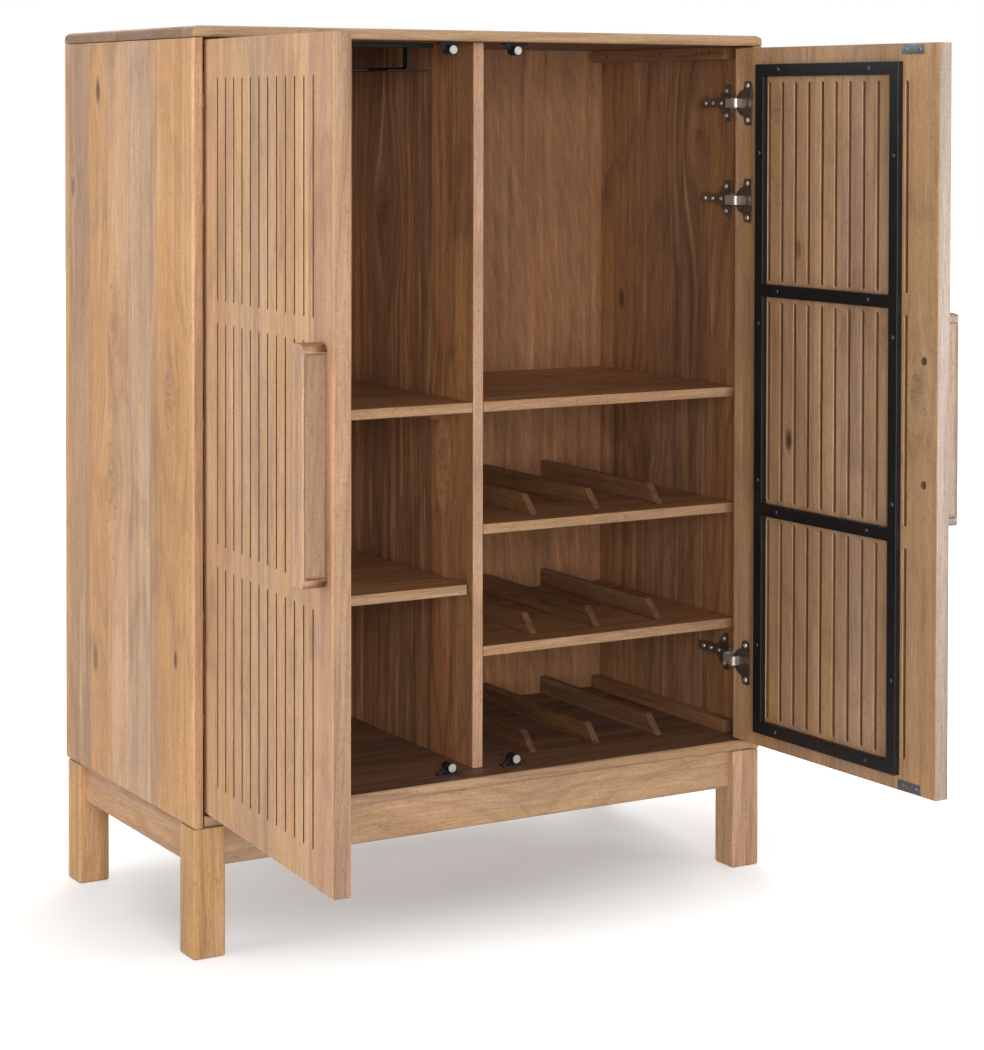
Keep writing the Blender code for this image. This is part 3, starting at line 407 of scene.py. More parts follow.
def cut_boards(tree, across, board, seed):
    """Boards side by side: each one's random triple, and the distance to the glue lines."""
    count = add_node(tree, "ShaderNodeMath", {0: across, 1: 1 / board, 2: seed * 7.31},
                     operation="MULTIPLY_ADD")
    cells = {"W": count.outputs[0], "Scale": 1.0, "Randomness": 0.8}
    boards = add_node(tree, "ShaderNodeTexVoronoi", cells, voronoi_dimensions="1D")
    joints = add_node(tree, "ShaderNodeTexVoronoi", cells, voronoi_dimensions="1D",
                      feature="DISTANCE_TO_EDGE")
    return boards.outputs["Color"], joints.outputs["Distance"]


def place_in_tree(tree, raw, boards, seed):
    """The grain's coordinates, how far they wander, and a slow cloud.

    Each board is cut from another part of the tree, and its streaks wander about 6 mm to either
    side over some 300 mm.
    """
    shift = add_node(tree, "ShaderNodeVectorMath",
                     {0: boards, 1: STEPS_IN_TREE, 2: (seed, seed * 2.3, seed * 3.7)},
                     operation="MULTIPLY_ADD")
    grain = add_node(tree, "ShaderNodeVectorMath", {0: raw, 1: shift.outputs[0]}, operation="ADD")
    slow = add_node(tree, "ShaderNodeVectorMath", {0: grain.outputs[0], 1: CLOUDS_PER_METRE},
                    operation="MULTIPLY")
    cloud = add_node(tree, "ShaderNodeTexNoise",
                     {"Vector": slow.outputs[0], "Scale": 1.0, "Detail": 2.0, "Roughness": 0.5})
    drift = add_node(tree, "ShaderNodeVectorMath",
                     {0: cloud.outputs["Color"], 1: (2 * STREAKS_WANDER, 2 * STREAKS_WANDER, 0.0),
                      2: (-STREAKS_WANDER, -STREAKS_WANDER, 0.0)}, operation="MULTIPLY_ADD")
    grain = add_node(tree, "ShaderNodeVectorMath", {0: grain.outputs[0], 1: drift.outputs[0]},
                     operation="ADD")
    return grain.outputs[0], drift.outputs[0], cloud.outputs["Fac"]


def growth_rings(tree, across, through, along, dice, drift, board):
    """Rings about 5 mm apart round the pith, the trunk's middle, which leans against the board."""
    rise = add_node(tree, "ShaderNodeMath", {0: along, 1: PITH_LEAN, 2: dice.outputs[0]},
                    operation="MULTIPLY_ADD")
    pith = add_node(tree, "ShaderNodeMapRange",
                    {"Value": dice.outputs[1], "To Min": -PITH_SHIFT, "To Max": PITH_SHIFT})
    depth = add_node(tree, "ShaderNodeMath", {0: rise.outputs[0], 1: PITH_DEPTH},
                     operation="PINGPONG")
    middle = add_node(tree, "ShaderNodeCombineXYZ", {0: pith.outputs[0], 1: depth.outputs[0]})
    inside = add_node(tree, "ShaderNodeMath", {0: across, 1: board}, operation="PINGPONG")
    spot = add_node(tree, "ShaderNodeCombineXYZ", {0: inside.outputs[0], 1: through})
    spot = add_node(tree, "ShaderNodeVectorMath", {0: spot.outputs[0], 1: drift}, operation="ADD")
    reach = add_node(tree, "ShaderNodeVectorMath", {0: spot.outputs[0], 1: middle.outputs[0]},
                     operation="SUBTRACT")
    radius = add_node(tree, "ShaderNodeVectorMath", {0: reach.outputs[0]}, operation="LENGTH")
    rings = add_node(tree, "ShaderNodeTexNoise",
                     {"W": radius.outputs["Value"], "Scale": 1 / RING_GROUP, "Detail": 3.0,
                      "Roughness": 0.62}, noise_dimensions="1D")
    return rings.outputs["Fac"]


def grain_noise(tree, grain, kind):
    """Noise in marks of one kind, with their width and their length along the grain."""
    width, length, detail, roughness = MARKS[kind]
    marks = add_node(tree, "ShaderNodeVectorMath",
                     {0: grain, 1: (1 / width, 1 / width, 1 / length)}, operation="MULTIPLY")
    noise = add_node(tree, "ShaderNodeTexNoise",
                     {"Vector": marks.outputs[0], "Scale": 1.0, "Detail": detail,
                      "Roughness": roughness})
    return noise.outputs["Fac"]


print(len(MARKS), "kinds of marks")

# %% [markdown]
# A board's colour starts from its tone. Golden and pink tints, rings, and dark and light streaks
# lie over that, and pores, glue lines and knots come last. How bright it is changes with the fibres
# and slowly along the board, with ripples, with flames where the grain is interlocked, and cut ends
# are darker.

# %% Colour of the wood
# A pattern, where its mask starts and ends, its strength and its tone.
TINTS = (("tints", 0.50, 0.66, 0.50, "gold"), ("tints", 0.46, 0.32, 0.45, "pink"),
         ("rings", 0.50, 0.72, 0.32, "dark"), ("streaks", 0.53, 0.70, 0.48, "dark"),
         ("streaks", 0.46, 0.32, 0.45, "light"))
GLUE_LINE = 0.8 * MM
CUT_END_LEVEL = 0.62


def board_colour(tree, tones, tone_dice, straight, picked):
    """Each board's tone, which is one of the pick's or the one that is given for its place."""
    tone = add_node(tree, "ShaderNodeValToRGB", {0: tone_dice})
    last = len(tones) - 1
    set_ramp(tone, [(0.08 + 0.84 * i / last, hex_colour(code)) for i, code in enumerate(tones)])
    colour = tone.outputs[0]
    for start, end, board_tone in picked:
        after = add_node(tree, "ShaderNodeMath", {0: straight, 1: start}, operation="GREATER_THAN")
        before = add_node(tree, "ShaderNodeMath", {0: straight, 1: end}, operation="LESS_THAN")
        inside = add_node(tree, "ShaderNodeMath", {0: after.outputs[0], 1: before.outputs[0]},
                          operation="MULTIPLY")
        colour = mix_colour(tree, inside.outputs[0], colour, board_tone)
    return colour


def marked_colour(tree, colour, tones, patterns, glue_distance, knot_mask, board, contrast):
    """The boards' colour with every mark on it."""
    for kind, start, end, strength, tint in TINTS:
        mask = band_mask(tree, patterns[kind], start, end, strength * contrast)
        colour = mix_colour(tree, mask, colour, tones[tint])
    pore_mask = band_mask(tree, patterns["pores"], 0.58, 0.74, 0.48 * contrast)
    glue_mask = add_node(tree, "ShaderNodeMapRange",
                         {"Value": glue_distance, "From Min": 0.0, "From Max": GLUE_LINE / board,
                          "To Min": 0.22, "To Max": 0.0})
    marks = add_node(tree, "ShaderNodeMath", {0: pore_mask, 1: glue_mask.outputs[0]},
                     operation="MAXIMUM")
    colour = mix_colour(tree, marks.outputs[0], colour, PORE)
    return mix_colour(tree, knot_mask, colour, KNOT) if knot_mask else colour


def wood_level(tree, patterns, swings, end_facing, contrast, shade):
    """How bright the wood is. Each swing is a pattern and how much it lightens and darkens."""
    level = shade
    for kind, lighter, darker in swings:
        swing = add_node(tree, "ShaderNodeMapRange",
                         {"Value": patterns[kind], "From Min": 0.3, "From Max": 0.7,
                          "To Min": 1 + lighter, "To Max": 1 - darker})
        level = add_node(tree, "ShaderNodeMath", {0: level, 1: swing.outputs[0]},
                         operation="MULTIPLY").outputs[0]
    depth = band_mask(tree, patterns["patches"], 0.50, 0.66, 0.34 * contrast)
    wave = add_node(tree, "ShaderNodeMath", {0: patterns["ripples"], 1: 0.5}, operation="SUBTRACT")
    ripple = add_node(tree, "ShaderNodeMath", {0: wave.outputs[0], 1: depth, 2: 1.0},
                      operation="MULTIPLY_ADD")
    square = add_node(tree, "ShaderNodeMath", {0: end_facing}, operation="ABSOLUTE")
    end_level = add_node(tree, "ShaderNodeMapRange",
                         {"Value": square.outputs[0], "From Min": 0.45, "From Max": 0.9,
                          "To Min": 1.0, "To Max": CUT_END_LEVEL}, interpolation_type="SMOOTHSTEP")
    for change in (ripple, end_level):
        level = add_node(tree, "ShaderNodeMath", {0: level, 1: change.outputs[0]},
                         operation="MULTIPLY").outputs[0]
    return level


print(len(TINTS), "layers of tint over each board")

# %% [markdown]
# The finish puts these together. The oil leaves a satin sheen, rougher along the open fibres, and
# the fibres and pores can be felt.

# %% A wood finish
def wood_finish(name, order, seed, pick="outer", board=80 * MM, turn=0.0, contrast=1.0,
                shade=1.0, figure=0.0, knots=(), picked=()):
    """Mango wood for one piece.

    order names the axes across the boards, through them and along the grain. pick names the tones
    that the boards are picked from, and board is their usual width. turn is the piece's angle about
    the vertical. contrast strengthens every mark, and shade darkens the whole piece. figure is the
    strength of the short slanting flames of interlocked grain. Each knot is its place across and
    along the grain, its radius and its strength. A picked board is its start and end across the
    grain and its tone.
    """
    material = bpy.data.materials.new(name)
    material.use_nodes = True
    tree = material.node_tree
    shader = tree.nodes["Principled BSDF"]
    tones = PICKS[pick]
    texture = add_node(tree, "ShaderNodeTexCoord")
    place = add_node(tree, "ShaderNodeMapping",
                     {"Vector": texture.outputs["Object"], "Rotation": (0, 0, turn)})
    axes = add_node(tree, "ShaderNodeSeparateXYZ", {0: place.outputs[0]})
    straight, through, along = (axes.outputs["XYZ".index(letter)] for letter in order)
    boards, glue_distance = cut_boards(tree, straight, board, seed)
    dice = add_node(tree, "ShaderNodeSeparateColor", {0: boards})
    across, knot_mask = bend_round_knots(tree, straight, along, knots)
    raw = add_node(tree, "ShaderNodeCombineXYZ", {0: across, 1: through, 2: along})
    grain, drift, cloud = place_in_tree(tree, raw.outputs[0], boards, seed)

    patterns = {kind: grain_noise(tree, grain, kind) for kind in MARKS if kind != "flames"}
    patterns["rings"] = growth_rings(tree, across, through, along, dice, drift, board)
    patterns["cloud"] = cloud
    swings = [("fibres", 0.13 * contrast, 0.15 * contrast),
              ("cloud", 0.11 * contrast, 0.13 * contrast)]
    if figure:
        slant = add_node(tree, "ShaderNodeVectorRotate",
                         {"Vector": raw.outputs[0], "Angle": math.radians(14)},
                         rotation_type="Y_AXIS")
        patterns["flames"] = grain_noise(tree, slant.outputs[0], "flames")
        swings.append(("flames", figure, figure))

    colour = board_colour(tree, tones["boards"], dice.outputs[2], straight, picked)
    colour = marked_colour(tree, colour, tones, patterns, glue_distance, knot_mask, board,
                           contrast)
    facing = add_node(tree, "ShaderNodeSeparateXYZ", {0: texture.outputs["Normal"]})
    level = wood_level(tree, patterns, swings, facing.outputs["XYZ".index(order[2])], contrast,
                       shade)
    colour = add_node(tree, "ShaderNodeVectorMath", {0: colour, "Scale": level},
                      operation="SCALE")
    tree.links.new(colour.outputs[0], shader.inputs["Base Color"])
    sheen = add_node(tree, "ShaderNodeMapRange",
                     {"Value": patterns["fibres"], "To Min": 0.44, "To Max": 0.62})
    tree.links.new(sheen.outputs[0], shader.inputs["Roughness"])
    height = add_node(tree, "ShaderNodeMath", {0: patterns["pores"], 1: patterns["fibres"]},
                      operation="ADD")
    bump = add_node(tree, "ShaderNodeBump",
                    {"Height": height.outputs[0], "Strength": 0.3, "Distance": 0.25 * MM},
                    invert=True)
    tree.links.new(bump.outputs[0], shader.inputs["Normal"])
    return material


print("one wood pattern in", len(PICKS), "picks of tones")

# %% [markdown]
# ## Steel, nickel and plastic
#
# These finishes differ in colour, metal or not, and how their surface was made, and each has a fine
# texture of its own. Powder coat is baked paint with a faint orange peel, 1.5 mm from peak to peak.
# Antique nickel is a dark plate on pressed steel, worn brighter in patches. The bright parts are
# zinc or nickel plate straight from the tumbler, with faint marks all over. Moulded plastic has a
# fine etched grain, drawn here at 0.6 mm because the real one is finer than a pixel.

# %% Finishes of the hardware
def hardware_finish(name, colour, second_colour, metallic, rough, rough_second, grain, height):
    """A finish with two colours and two roughnesses that change over marks of the grain's size."""
    material = bpy.data.materials.new(name)
    material.use_nodes = True
    tree = material.node_tree
    shader = tree.nodes["Principled BSDF"]
    shader.inputs["Metallic"].default_value = metallic
    place = add_node(tree, "ShaderNodeTexCoord")
    patches = add_node(tree, "ShaderNodeTexNoise",
                       {"Vector": place.outputs["Object"], "Scale": 1 / (4 * grain), "Detail": 3.0})
    marks = add_node(tree, "ShaderNodeTexNoise",
                     {"Vector": place.outputs["Object"], "Scale": 1 / grain, "Detail": 1.0})
    share = band_mask(tree, patches.outputs["Fac"], 0.35, 0.65, 1.0)
    mixed = mix_colour(tree, share, hex_colour(colour), second_colour)
    tree.links.new(mixed, shader.inputs["Base Color"])
    roughness = add_node(tree, "ShaderNodeMapRange",
                         {"Value": patches.outputs["Fac"], "From Min": 0.3, "From Max": 0.7,
                          "To Min": rough, "To Max": rough_second})
    tree.links.new(roughness.outputs[0], shader.inputs["Roughness"])
    bump = add_node(tree, "ShaderNodeBump",
                    {"Height": marks.outputs["Fac"], "Strength": 0.5, "Distance": height})
    tree.links.new(bump.outputs[0], shader.inputs["Normal"])
    return material


POWDER_COAT = hardware_finish("black_powder_coat", "101012", "161719", 0, 0.40, 0.50,
                              1.5 * MM, 0.05 * MM)
ANTIQUE_NICKEL = hardware_finish("antique_nickel_plate", "7A6B5F", "9C8E81", 0.85, 0.28, 0.44,
                                 1.0 * MM, 0.03 * MM)
BRIGHT_NICKEL = hardware_finish("bright_nickel_plate", "D2D0C8", "BDBAB1", 0.6, 0.30, 0.42,
                                0.8 * MM, 0.02 * MM)
ZINC_PLATE = hardware_finish("dull_zinc_plate", "8D9297", "7C8186", 1, 0.42, 0.55,
                             1.2 * MM, 0.02 * MM)
SCREW_STEEL = hardware_finish("blackened_screw_steel", "5C5D60", "6C6D70", 1, 0.38, 0.50,
                              0.6 * MM, 0.02 * MM)
MOULDED_PLASTIC = hardware_finish("black_moulded_plastic", "19191A", "212122", 0, 0.42, 0.52,
                                  0.6 * MM, 0.03 * MM)
print("six hardware finishes")

# %% [markdown]
# ## Softened copies of the CAD pieces
#
# A CAD piece comes as loose triangles with sharp edges, but a sanded board has its edges broken by
# half a millimetre or so, and that thin bright line is what makes wood look solid. Each piece is
# copied, its triangles are joined, and a Bevel breaks its square edges. Weighted normals keep the
# flat sides flat in the light.

# %% Copy, join and ease a piece
BEVEL_ABOVE = math.radians(50)
SHARP_ABOVE = math.radians(52)


def join_triangles(name, make_flats=True):
    """The mesh of a CAD node with its doubles merged and, if asked, its flat sides made whole."""
    bm = bmesh.new()
    bm.from_mesh(frame["nodes"][name].data)
    bmesh.ops.remove_doubles(bm, verts=bm.verts, dist=0.01 * MM)
    if make_flats:
        bmesh.ops.dissolve_limit(bm, angle_limit=math.radians(0.5), verts=bm.verts, edges=bm.edges)
    return to_mesh(bm, name)


def body_of(name):
    """The body that a CAD node rides on."""
    for side in ("left", "right"):
        on_door = (f"door_{side}", f"handle_{side}", f"door_frame_{side}")
        if name in on_door or f"cup_{side}" in name:
            return f"door_{side}_body"
        if f"link_{side}" in name:
            return f"hinge_links_{side}"
    return "root"


def show_piece(name, mesh, material, body):
    """Put a finished mesh in the scene, with its finish, on its body."""
    mesh.materials.clear()
    mesh.materials.append(material)
    piece = add_object(name, mesh)
    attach(piece, body)
    return piece


def soften(piece, ease):
    """Break a piece's square edges and shade it smooth between them."""
    piece.data.shade_smooth()
    if ease:
        bevel = piece.modifiers.new("broken_edges", "BEVEL")
        bevel.width = ease
        bevel.segments = 2
        bevel.limit_method = "ANGLE"
        bevel.angle_limit = BEVEL_ABOVE
        bevel.miter_outer = "MITER_ARC"
    piece.data.set_sharp_from_angle(angle=SHARP_ABOVE)
    weighted = piece.modifiers.new("flat_sides", "WEIGHTED_NORMAL")
    weighted.keep_sharp = True


def dress_node(name, material, ease, mesh=None):
    """Replace a CAD node by its softened copy."""
    mesh = mesh or join_triangles(name)
    piece = show_piece(f"{name}_finished", mesh, material, body_of(name))
    soften(piece, ease)
    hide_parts(name)
    return piece


def paint_faces(piece, material, is_painted, space=Matrix.Identity(4)):
    """Give another finish to the faces whose middle and direction, in a space, pass a test."""
    to_space = space.inverted()
    turn = to_space.to_3x3()
    piece.data.materials.append(material)
    number = len(piece.data.materials) - 1
    painted = 0
    for face in piece.data.polygons:
        if is_painted(to_space @ face.center, turn @ face.normal):
            face.material_index = number
            painted += 1
    return painted


print("ready to copy", len(frame["nodes"]), "pieces")

# %% [markdown]
# ## Case, base and shelves
#
# The boards of the top, the bottom and the shelves run from side to side, those of the sides, the
# back and the divider stand upright, and each strip, apron and leg is cut along its length. The
# back is a single wide panel with a flamed figure. The pieces inside are a darker pick of boards,
# partly darker wood and partly painted shade of the bays, and some are made lighter or darker as a
# whole as painted light and shade. Each piece gets its own seed, so no two are alike.

# %% Finish the wooden pieces
OUTER = "oiled_wood"
INNER = "interior_wood"
WOOD_EASE = 0.6 * MM
ONE_BOARD = 300 * MM
SIDE_KNOTS = ((0.297, 1.085, 10 * MM, 0.85), (0.388, 0.955, 8 * MM, 0.55),
              (0.308, 0.322, 11 * MM, 0.6), (0.240, 0.800, 20 * MM, 0.25),
              (0.041, 0.368, 7 * MM, 0.85), (0.250, 0.560, 26 * MM, 0.12),
              (0.060, 0.700, 24 * MM, 0.15))
DIVIDER_KNOTS = ((0.285, 0.930, 24 * MM, 0.45), (0.110, 0.600, 20 * MM, 0.2))
GOLDEN_FRONT_BOARD = ((-0.004, 0.098, "CB9862"),)
# A darker band towards the back of the divider is painted shadow of the open left door.
PAINTED_SHADOW_BAND = ((0.145, 0.400, "74533C"),)
LEG_TONES = {"left": "C29562", "right": "CBA380"}
# Each shelf is made lighter or darker as a whole, as painted light and shade of its bay.
SHELF_PAINTED_LIGHT = {"shelf_upper_left": 0.76, "shelf_upper_right": 1.08, "shelf_lower_left": 0.95,
                "wine_shelf_upper": 0.93, "wine_shelf_lower": 0.93}
WOODEN = {
    "top_panel": (OUTER, dict(order="YZX", board=90 * MM, contrast=0.9, shade=0.78)),
    "bottom_panel": (OUTER, dict(order="YZX", board=90 * MM, shade=0.84)),
    "side_panel_left": (OUTER, dict(order="YXZ", board=74 * MM, contrast=0.9, knots=SIDE_KNOTS,
                                    picked=GOLDEN_FRONT_BOARD)),
    "side_panel_right": (OUTER, dict(order="YXZ", board=74 * MM, contrast=0.9)),
    "back_panel": (INNER, dict(order="XYZ", board=390 * MM, contrast=0.9, figure=0.15,
                               shade=0.96)),
    # The divider is made lighter as painted light, with the band as its painted shadow.
    "centre_divider": (INNER, dict(order="YXZ", board=110 * MM, contrast=1.3, figure=0.03,
                                   shade=1.34, knots=DIVIDER_KNOTS, picked=PAINTED_SHADOW_BAND)),
    "shelf_block": (INNER, dict(order="ZXY", board=ONE_BOARD)),
}
for name, shade in SHELF_PAINTED_LIGHT.items():
    WOODEN[name] = (INNER, dict(order="YZX", board=120 * MM, contrast=1.4, shade=shade))
for name in ("top_cleat_right", "floor_cleat_right"):
    WOODEN[name] = (INNER, dict(order="ZXY", board=ONE_BOARD, shade=0.9))
for end in ("front", "back"):
    WOODEN[f"apron_{end}"] = (OUTER, dict(order="ZYX", board=ONE_BOARD, shade=0.9))
    for side in ("left", "right"):
        WOODEN[f"leg_{end}_{side}"] = (OUTER, dict(order="XYZ", board=ONE_BOARD,
                                                   picked=((-1, 1, LEG_TONES[side]),)))
for side in ("left", "right"):
    WOODEN[f"apron_{side}"] = (OUTER, dict(order="ZXY", board=ONE_BOARD, shade=0.88))
# The bottle dividers are darkened as painted shade between them.
for row in ("upper", "lower", "floor"):
    for number in (1, 2, 3):
        WOODEN[f"bottle_divider_{row}_{number}"] = (
            INNER, dict(order="ZXY", board=ONE_BOARD, contrast=1.4, shade=0.62))

PICK_OF_SLOT = {OUTER: "outer", INNER: "inner"}
dressed = {}
for number, (name, (slot, look)) in enumerate(WOODEN.items(), start=1):
    finish = wood_finish(f"mango_{name}", seed=number * 0.613, pick=PICK_OF_SLOT[slot], **look)
    dressed[name] = dress_node(name, finish, WOOD_EASE)
print(len(WOODEN), "wooden pieces of the case and base")

# %% [markdown]
# The inner faces of the two sides, the floors of the bays and their ceiling are a darker pick of
# boards, partly darker wood and partly painted shade, and each side's inner face is made lighter or
# darker as a whole as painted light and shade of its bay. The front edges of the shelves, the
# divider and the left side take tones like the outside, and those of the shelves and the side are
# darkened a little as painted shade. The adjustable shelf lies on four steel pins, which the CAD
# has in one solid with the left side and the divider. Their faces are the ones that stand off the
# board.

# %% Inner faces and shelf pins
SQUARE_ON = 0.9
SIDE_INNER_FACE = 418 * MM
DIVIDER_HALF = 8 * MM
FRONT_INNER_BOARD = ((0.010, 0.052, "9E7048"),)
# Each side's inner face made darker or lighter as a whole: painted light and shade of the bays.
INNER_PAINTED_LIGHT = {"left": 0.86, "right": 1.42}
INNER_KNOTS = {"left": ((0.24, 0.92, 26 * MM, 0.5),),
               "right": ((0.324, 0.778, 9 * MM, 0.9), (0.115, 1.005, 30 * MM, 0.35),
                         (0.25, 0.60, 22 * MM, 0.3))}


def faces_in(middle, facing):
    """The inner face of a side."""
    return facing.x > SQUARE_ON


def faces_front(middle, facing):
    """A front edge."""
    return facing.y < -SQUARE_ON


def faces_up(middle, facing):
    """A level face that things stand on."""
    return facing.z > SQUARE_ON


def faces_down(middle, facing):
    """A level face that looks at the floor."""
    return facing.z < -SQUARE_ON


for side in ("left", "right"):
    inner_wood_and_shade = wood_finish(f"mango_inner_face_{side}", "YXZ", 52.3 + len(side), "shaded", 88 * MM,
                             contrast=1.3, shade=INNER_PAINTED_LIGHT[side], knots=INNER_KNOTS[side],
                             picked=FRONT_INNER_BOARD)
    panel = dressed[f"side_panel_{side}"]
    print(panel.name, paint_faces(panel, inner_wood_and_shade, faces_in, CASE_SPACE[side]), "inner faces")

edge_wood = wood_finish("mango_front_edge", "XYZ", 57.9, "pull", ONE_BOARD, shade=0.97)
paint_faces(dressed["centre_divider"], edge_wood, faces_front)
# The left side's front edge is darkened a little as painted shade.
side_edge_wood = wood_finish("mango_side_edge", "XYZ", 59.2, "outer", ONE_BOARD, shade=0.90)
paint_faces(dressed["side_panel_left"], side_edge_wood, faces_front)
# The shelves' front edges are darkened as painted shade inside the bays.
shelf_edge_wood = wood_finish("mango_shelf_edge", "ZYX", 58.4, "outer", ONE_BOARD, shade=0.80)
for name in SHELF_PAINTED_LIGHT:
    paint_faces(dressed[name], shelf_edge_wood, faces_front)
# The floors of the bays and their ceiling are painted darker as painted shade.
bay_painted_shade = wood_finish("mango_bay_painted_shade", "YZX", 61.7, "shaded", 100 * MM, contrast=1.4,
                         shade=0.8)
paint_faces(dressed["bottom_panel"], bay_painted_shade, faces_up)
paint_faces(dressed["top_panel"], bay_painted_shade, faces_down)

pins = paint_faces(dressed["side_panel_left"], BRIGHT_NICKEL,
                   lambda middle, facing: middle.x > 0.2 * MM - SIDE_INNER_FACE,
                   CASE_SPACE["left"])
pins += paint_faces(dressed["centre_divider"], BRIGHT_NICKEL,
                    lambda middle, facing: middle.x < -0.2 * MM - DIVIDER_HALF,
                    CASE_SPACE["left"])
print(pins, "faces on shelf pins")

# %% [markdown]
# ## Doors
#
# Each pull is held by two screws that sit deep in pits, and the pits are cut into the door's copy.
# The scoop in the side of a pull runs right up to the door, where the CAD keeps a thin rim, so a
# rounded block is cut out of the pull's copy too. A Boolean modifier does the cutting, and the
# result is kept as a new mesh.

# %% Cut shapes out of a piece
def make_cylinder(radius, height, sides):
    """A closed cylinder that stands on the origin."""
    bm = bmesh.new()
    bmesh.ops.create_cone(bm, cap_ends=True, segments=sides, radius1=radius, radius2=radius,
                          depth=height)
    bmesh.ops.translate(bm, vec=(0, 0, height / 2), verts=bm.verts)
    return bm


def make_block(low, high):
    """A block between two corners."""
    bm = bmesh.new()
    bmesh.ops.create_cube(bm, size=1)
    bmesh.ops.scale(bm, vec=high - low, verts=bm.verts)
    bmesh.ops.translate(bm, vec=(low + high) / 2, verts=bm.verts)
    return bm


def put_in_space(bm, space):
    """Move a shape to its place in the world. A mirrored one is turned right side out again."""
    bmesh.ops.transform(bm, matrix=space, verts=bm.verts)
    if space.is_negative:
        bmesh.ops.recalc_face_normals(bm, faces=bm.faces)
    return bm


def carve(mesh, cutter):
    """The mesh with the cutter's shape taken out."""
    body = add_object("carved", mesh)
    tool = add_object("tool", to_mesh(cutter, "tool"))
    cut = body.modifiers.new("cut", "BOOLEAN")
    cut.operation = "DIFFERENCE"
    cut.object = tool
    bpy.context.view_layer.update()
    graph = bpy.context.evaluated_depsgraph_get()
    carved = bpy.data.meshes.new_from_object(body.evaluated_get(graph))
    for thing in (body, tool):
        bpy.data.objects.remove(thing)
    return carved


print("ready to cut")

# %% [markdown]
# One piece carries several finishes. The slots and the pits are milled, and their walls are
# painted dark as painted shade, which is why slots look like dark lines. The strike plates for the
# magnets are zinc plated. The right door's free edge is painted pale as a painted highlight, and
# the left one is a strip of a darker tone. Each kind of face is found by where it lies on the door
# and which way it looks.

# %% Faces of a door and its pull
DOOR_BOTTOM = 182.5 * MM
DOOR_WIDTH = 414.25 * MM
DOOR_THICKNESS = 22 * MM
HAIR = 0.1 * MM
SLOTS_LOW = Vector((44 * MM, 0, DOOR_BOTTOM + 38 * MM))
SLOTS_HIGH = Vector((357 * MM, DOOR_THICKNESS, 1102 * MM))
PULL_SCREWS = [(389.5 * MM, DOOR_BOTTOM + rise) for rise in (400.6 * MM, 559.0 * MM)]
PIT_RADIUS = 5.5 * MM
PIT_DEPTH = 2.6 * MM
SCOOP_LOW = Vector((391.1 * MM, -28.2 * MM, 537.5 * MM))
SCOOP_HIGH = Vector((404 * MM, 12 * MM, 790.5 * MM))
SCOOP_RADIUS = 6 * MM
PULL_INNER_SIDE = 385 * MM
PULL_SIDE = 397.6 * MM


def is_slot_wall(middle, facing):
    """Slot walls run right through the door, well inside its outline."""
    inside = SLOTS_LOW.x < middle.x < SLOTS_HIGH.x and SLOTS_LOW.z < middle.z < SLOTS_HIGH.z
    return inside and abs(facing.y) < 0.6 and middle.y < SLOTS_HIGH.y


def is_free_edge(middle, facing):
    """The upright edge that is far from the hinges."""
    return facing.x > SQUARE_ON and middle.x > 0.95 * DOOR_WIDTH


def is_pit(middle, facing):
    """The walls and the ground of the pits round the pull's screws."""
    near = any(math.hypot(middle.x - u, middle.z - z) < 1.1 * PIT_RADIUS for u, z in PULL_SCREWS)
    return near and middle.y < DOOR_THICKNESS - HAIR


def is_strike(middle, facing):
    """The strike plates are all that stands off the inner face."""
    return middle.y > DOOR_THICKNESS + HAIR


def is_scoop(middle, facing):
    """The scoop lies behind the side of the pull and its thin lip."""
    hollow = PULL_INNER_SIDE < middle.x < PULL_SIDE and middle.y > SCOOP_LOW.y - HAIR
    return hollow and SCOOP_LOW.z < middle.z < SCOOP_HIGH.z and facing.x > -0.5


print("five kinds of faces")

# %% [markdown]
# A door's pattern has to turn with the door, because its boards run along its own width, so the
# pattern is turned by the door's angle. The CAD slots already have eased rims, so neither the doors
# nor the pulls need a Bevel.

# %% Finish the doors and pulls
# One for the door and one for its pull.
SEEDS = {"left": (31.7, 41.3), "right": (34.6, 43.0)}
DOOR_KNOTS = {
    "left": ((0.30, 0.42, 24 * MM, 0.1),),
    "right": ((0.120, 0.6125, 9 * MM, 0.9), (0.1395, 0.873, 8 * MM, 0.5),
              (0.378, 0.70, 20 * MM, 0.25), (0.095, 1.06, 18 * MM, 0.3)),
}
# The right door is darkened as painted shade, where the left door and the case keep light off it.
DOOR_PAINTED_SHADE = {"left": 1.02, "right": 0.87}
# The right free edge is painted pale as a painted highlight, and the left one is a darker strip.
FREE_EDGE_TONE_AND_HIGHLIGHT = {"left": dict(pick="pull", shade=0.80), "right": dict(pick="pale")}
# The right pull is painted pale as a painted highlight.
PULL_PICKS_AND_HIGHLIGHT = {"left": "pull", "right": "pale"}
# How dark each scoop is painted, as painted shade in its hollow.
SCOOP_PAINTED_SHADE = {"left": 0.67, "right": 0.93}


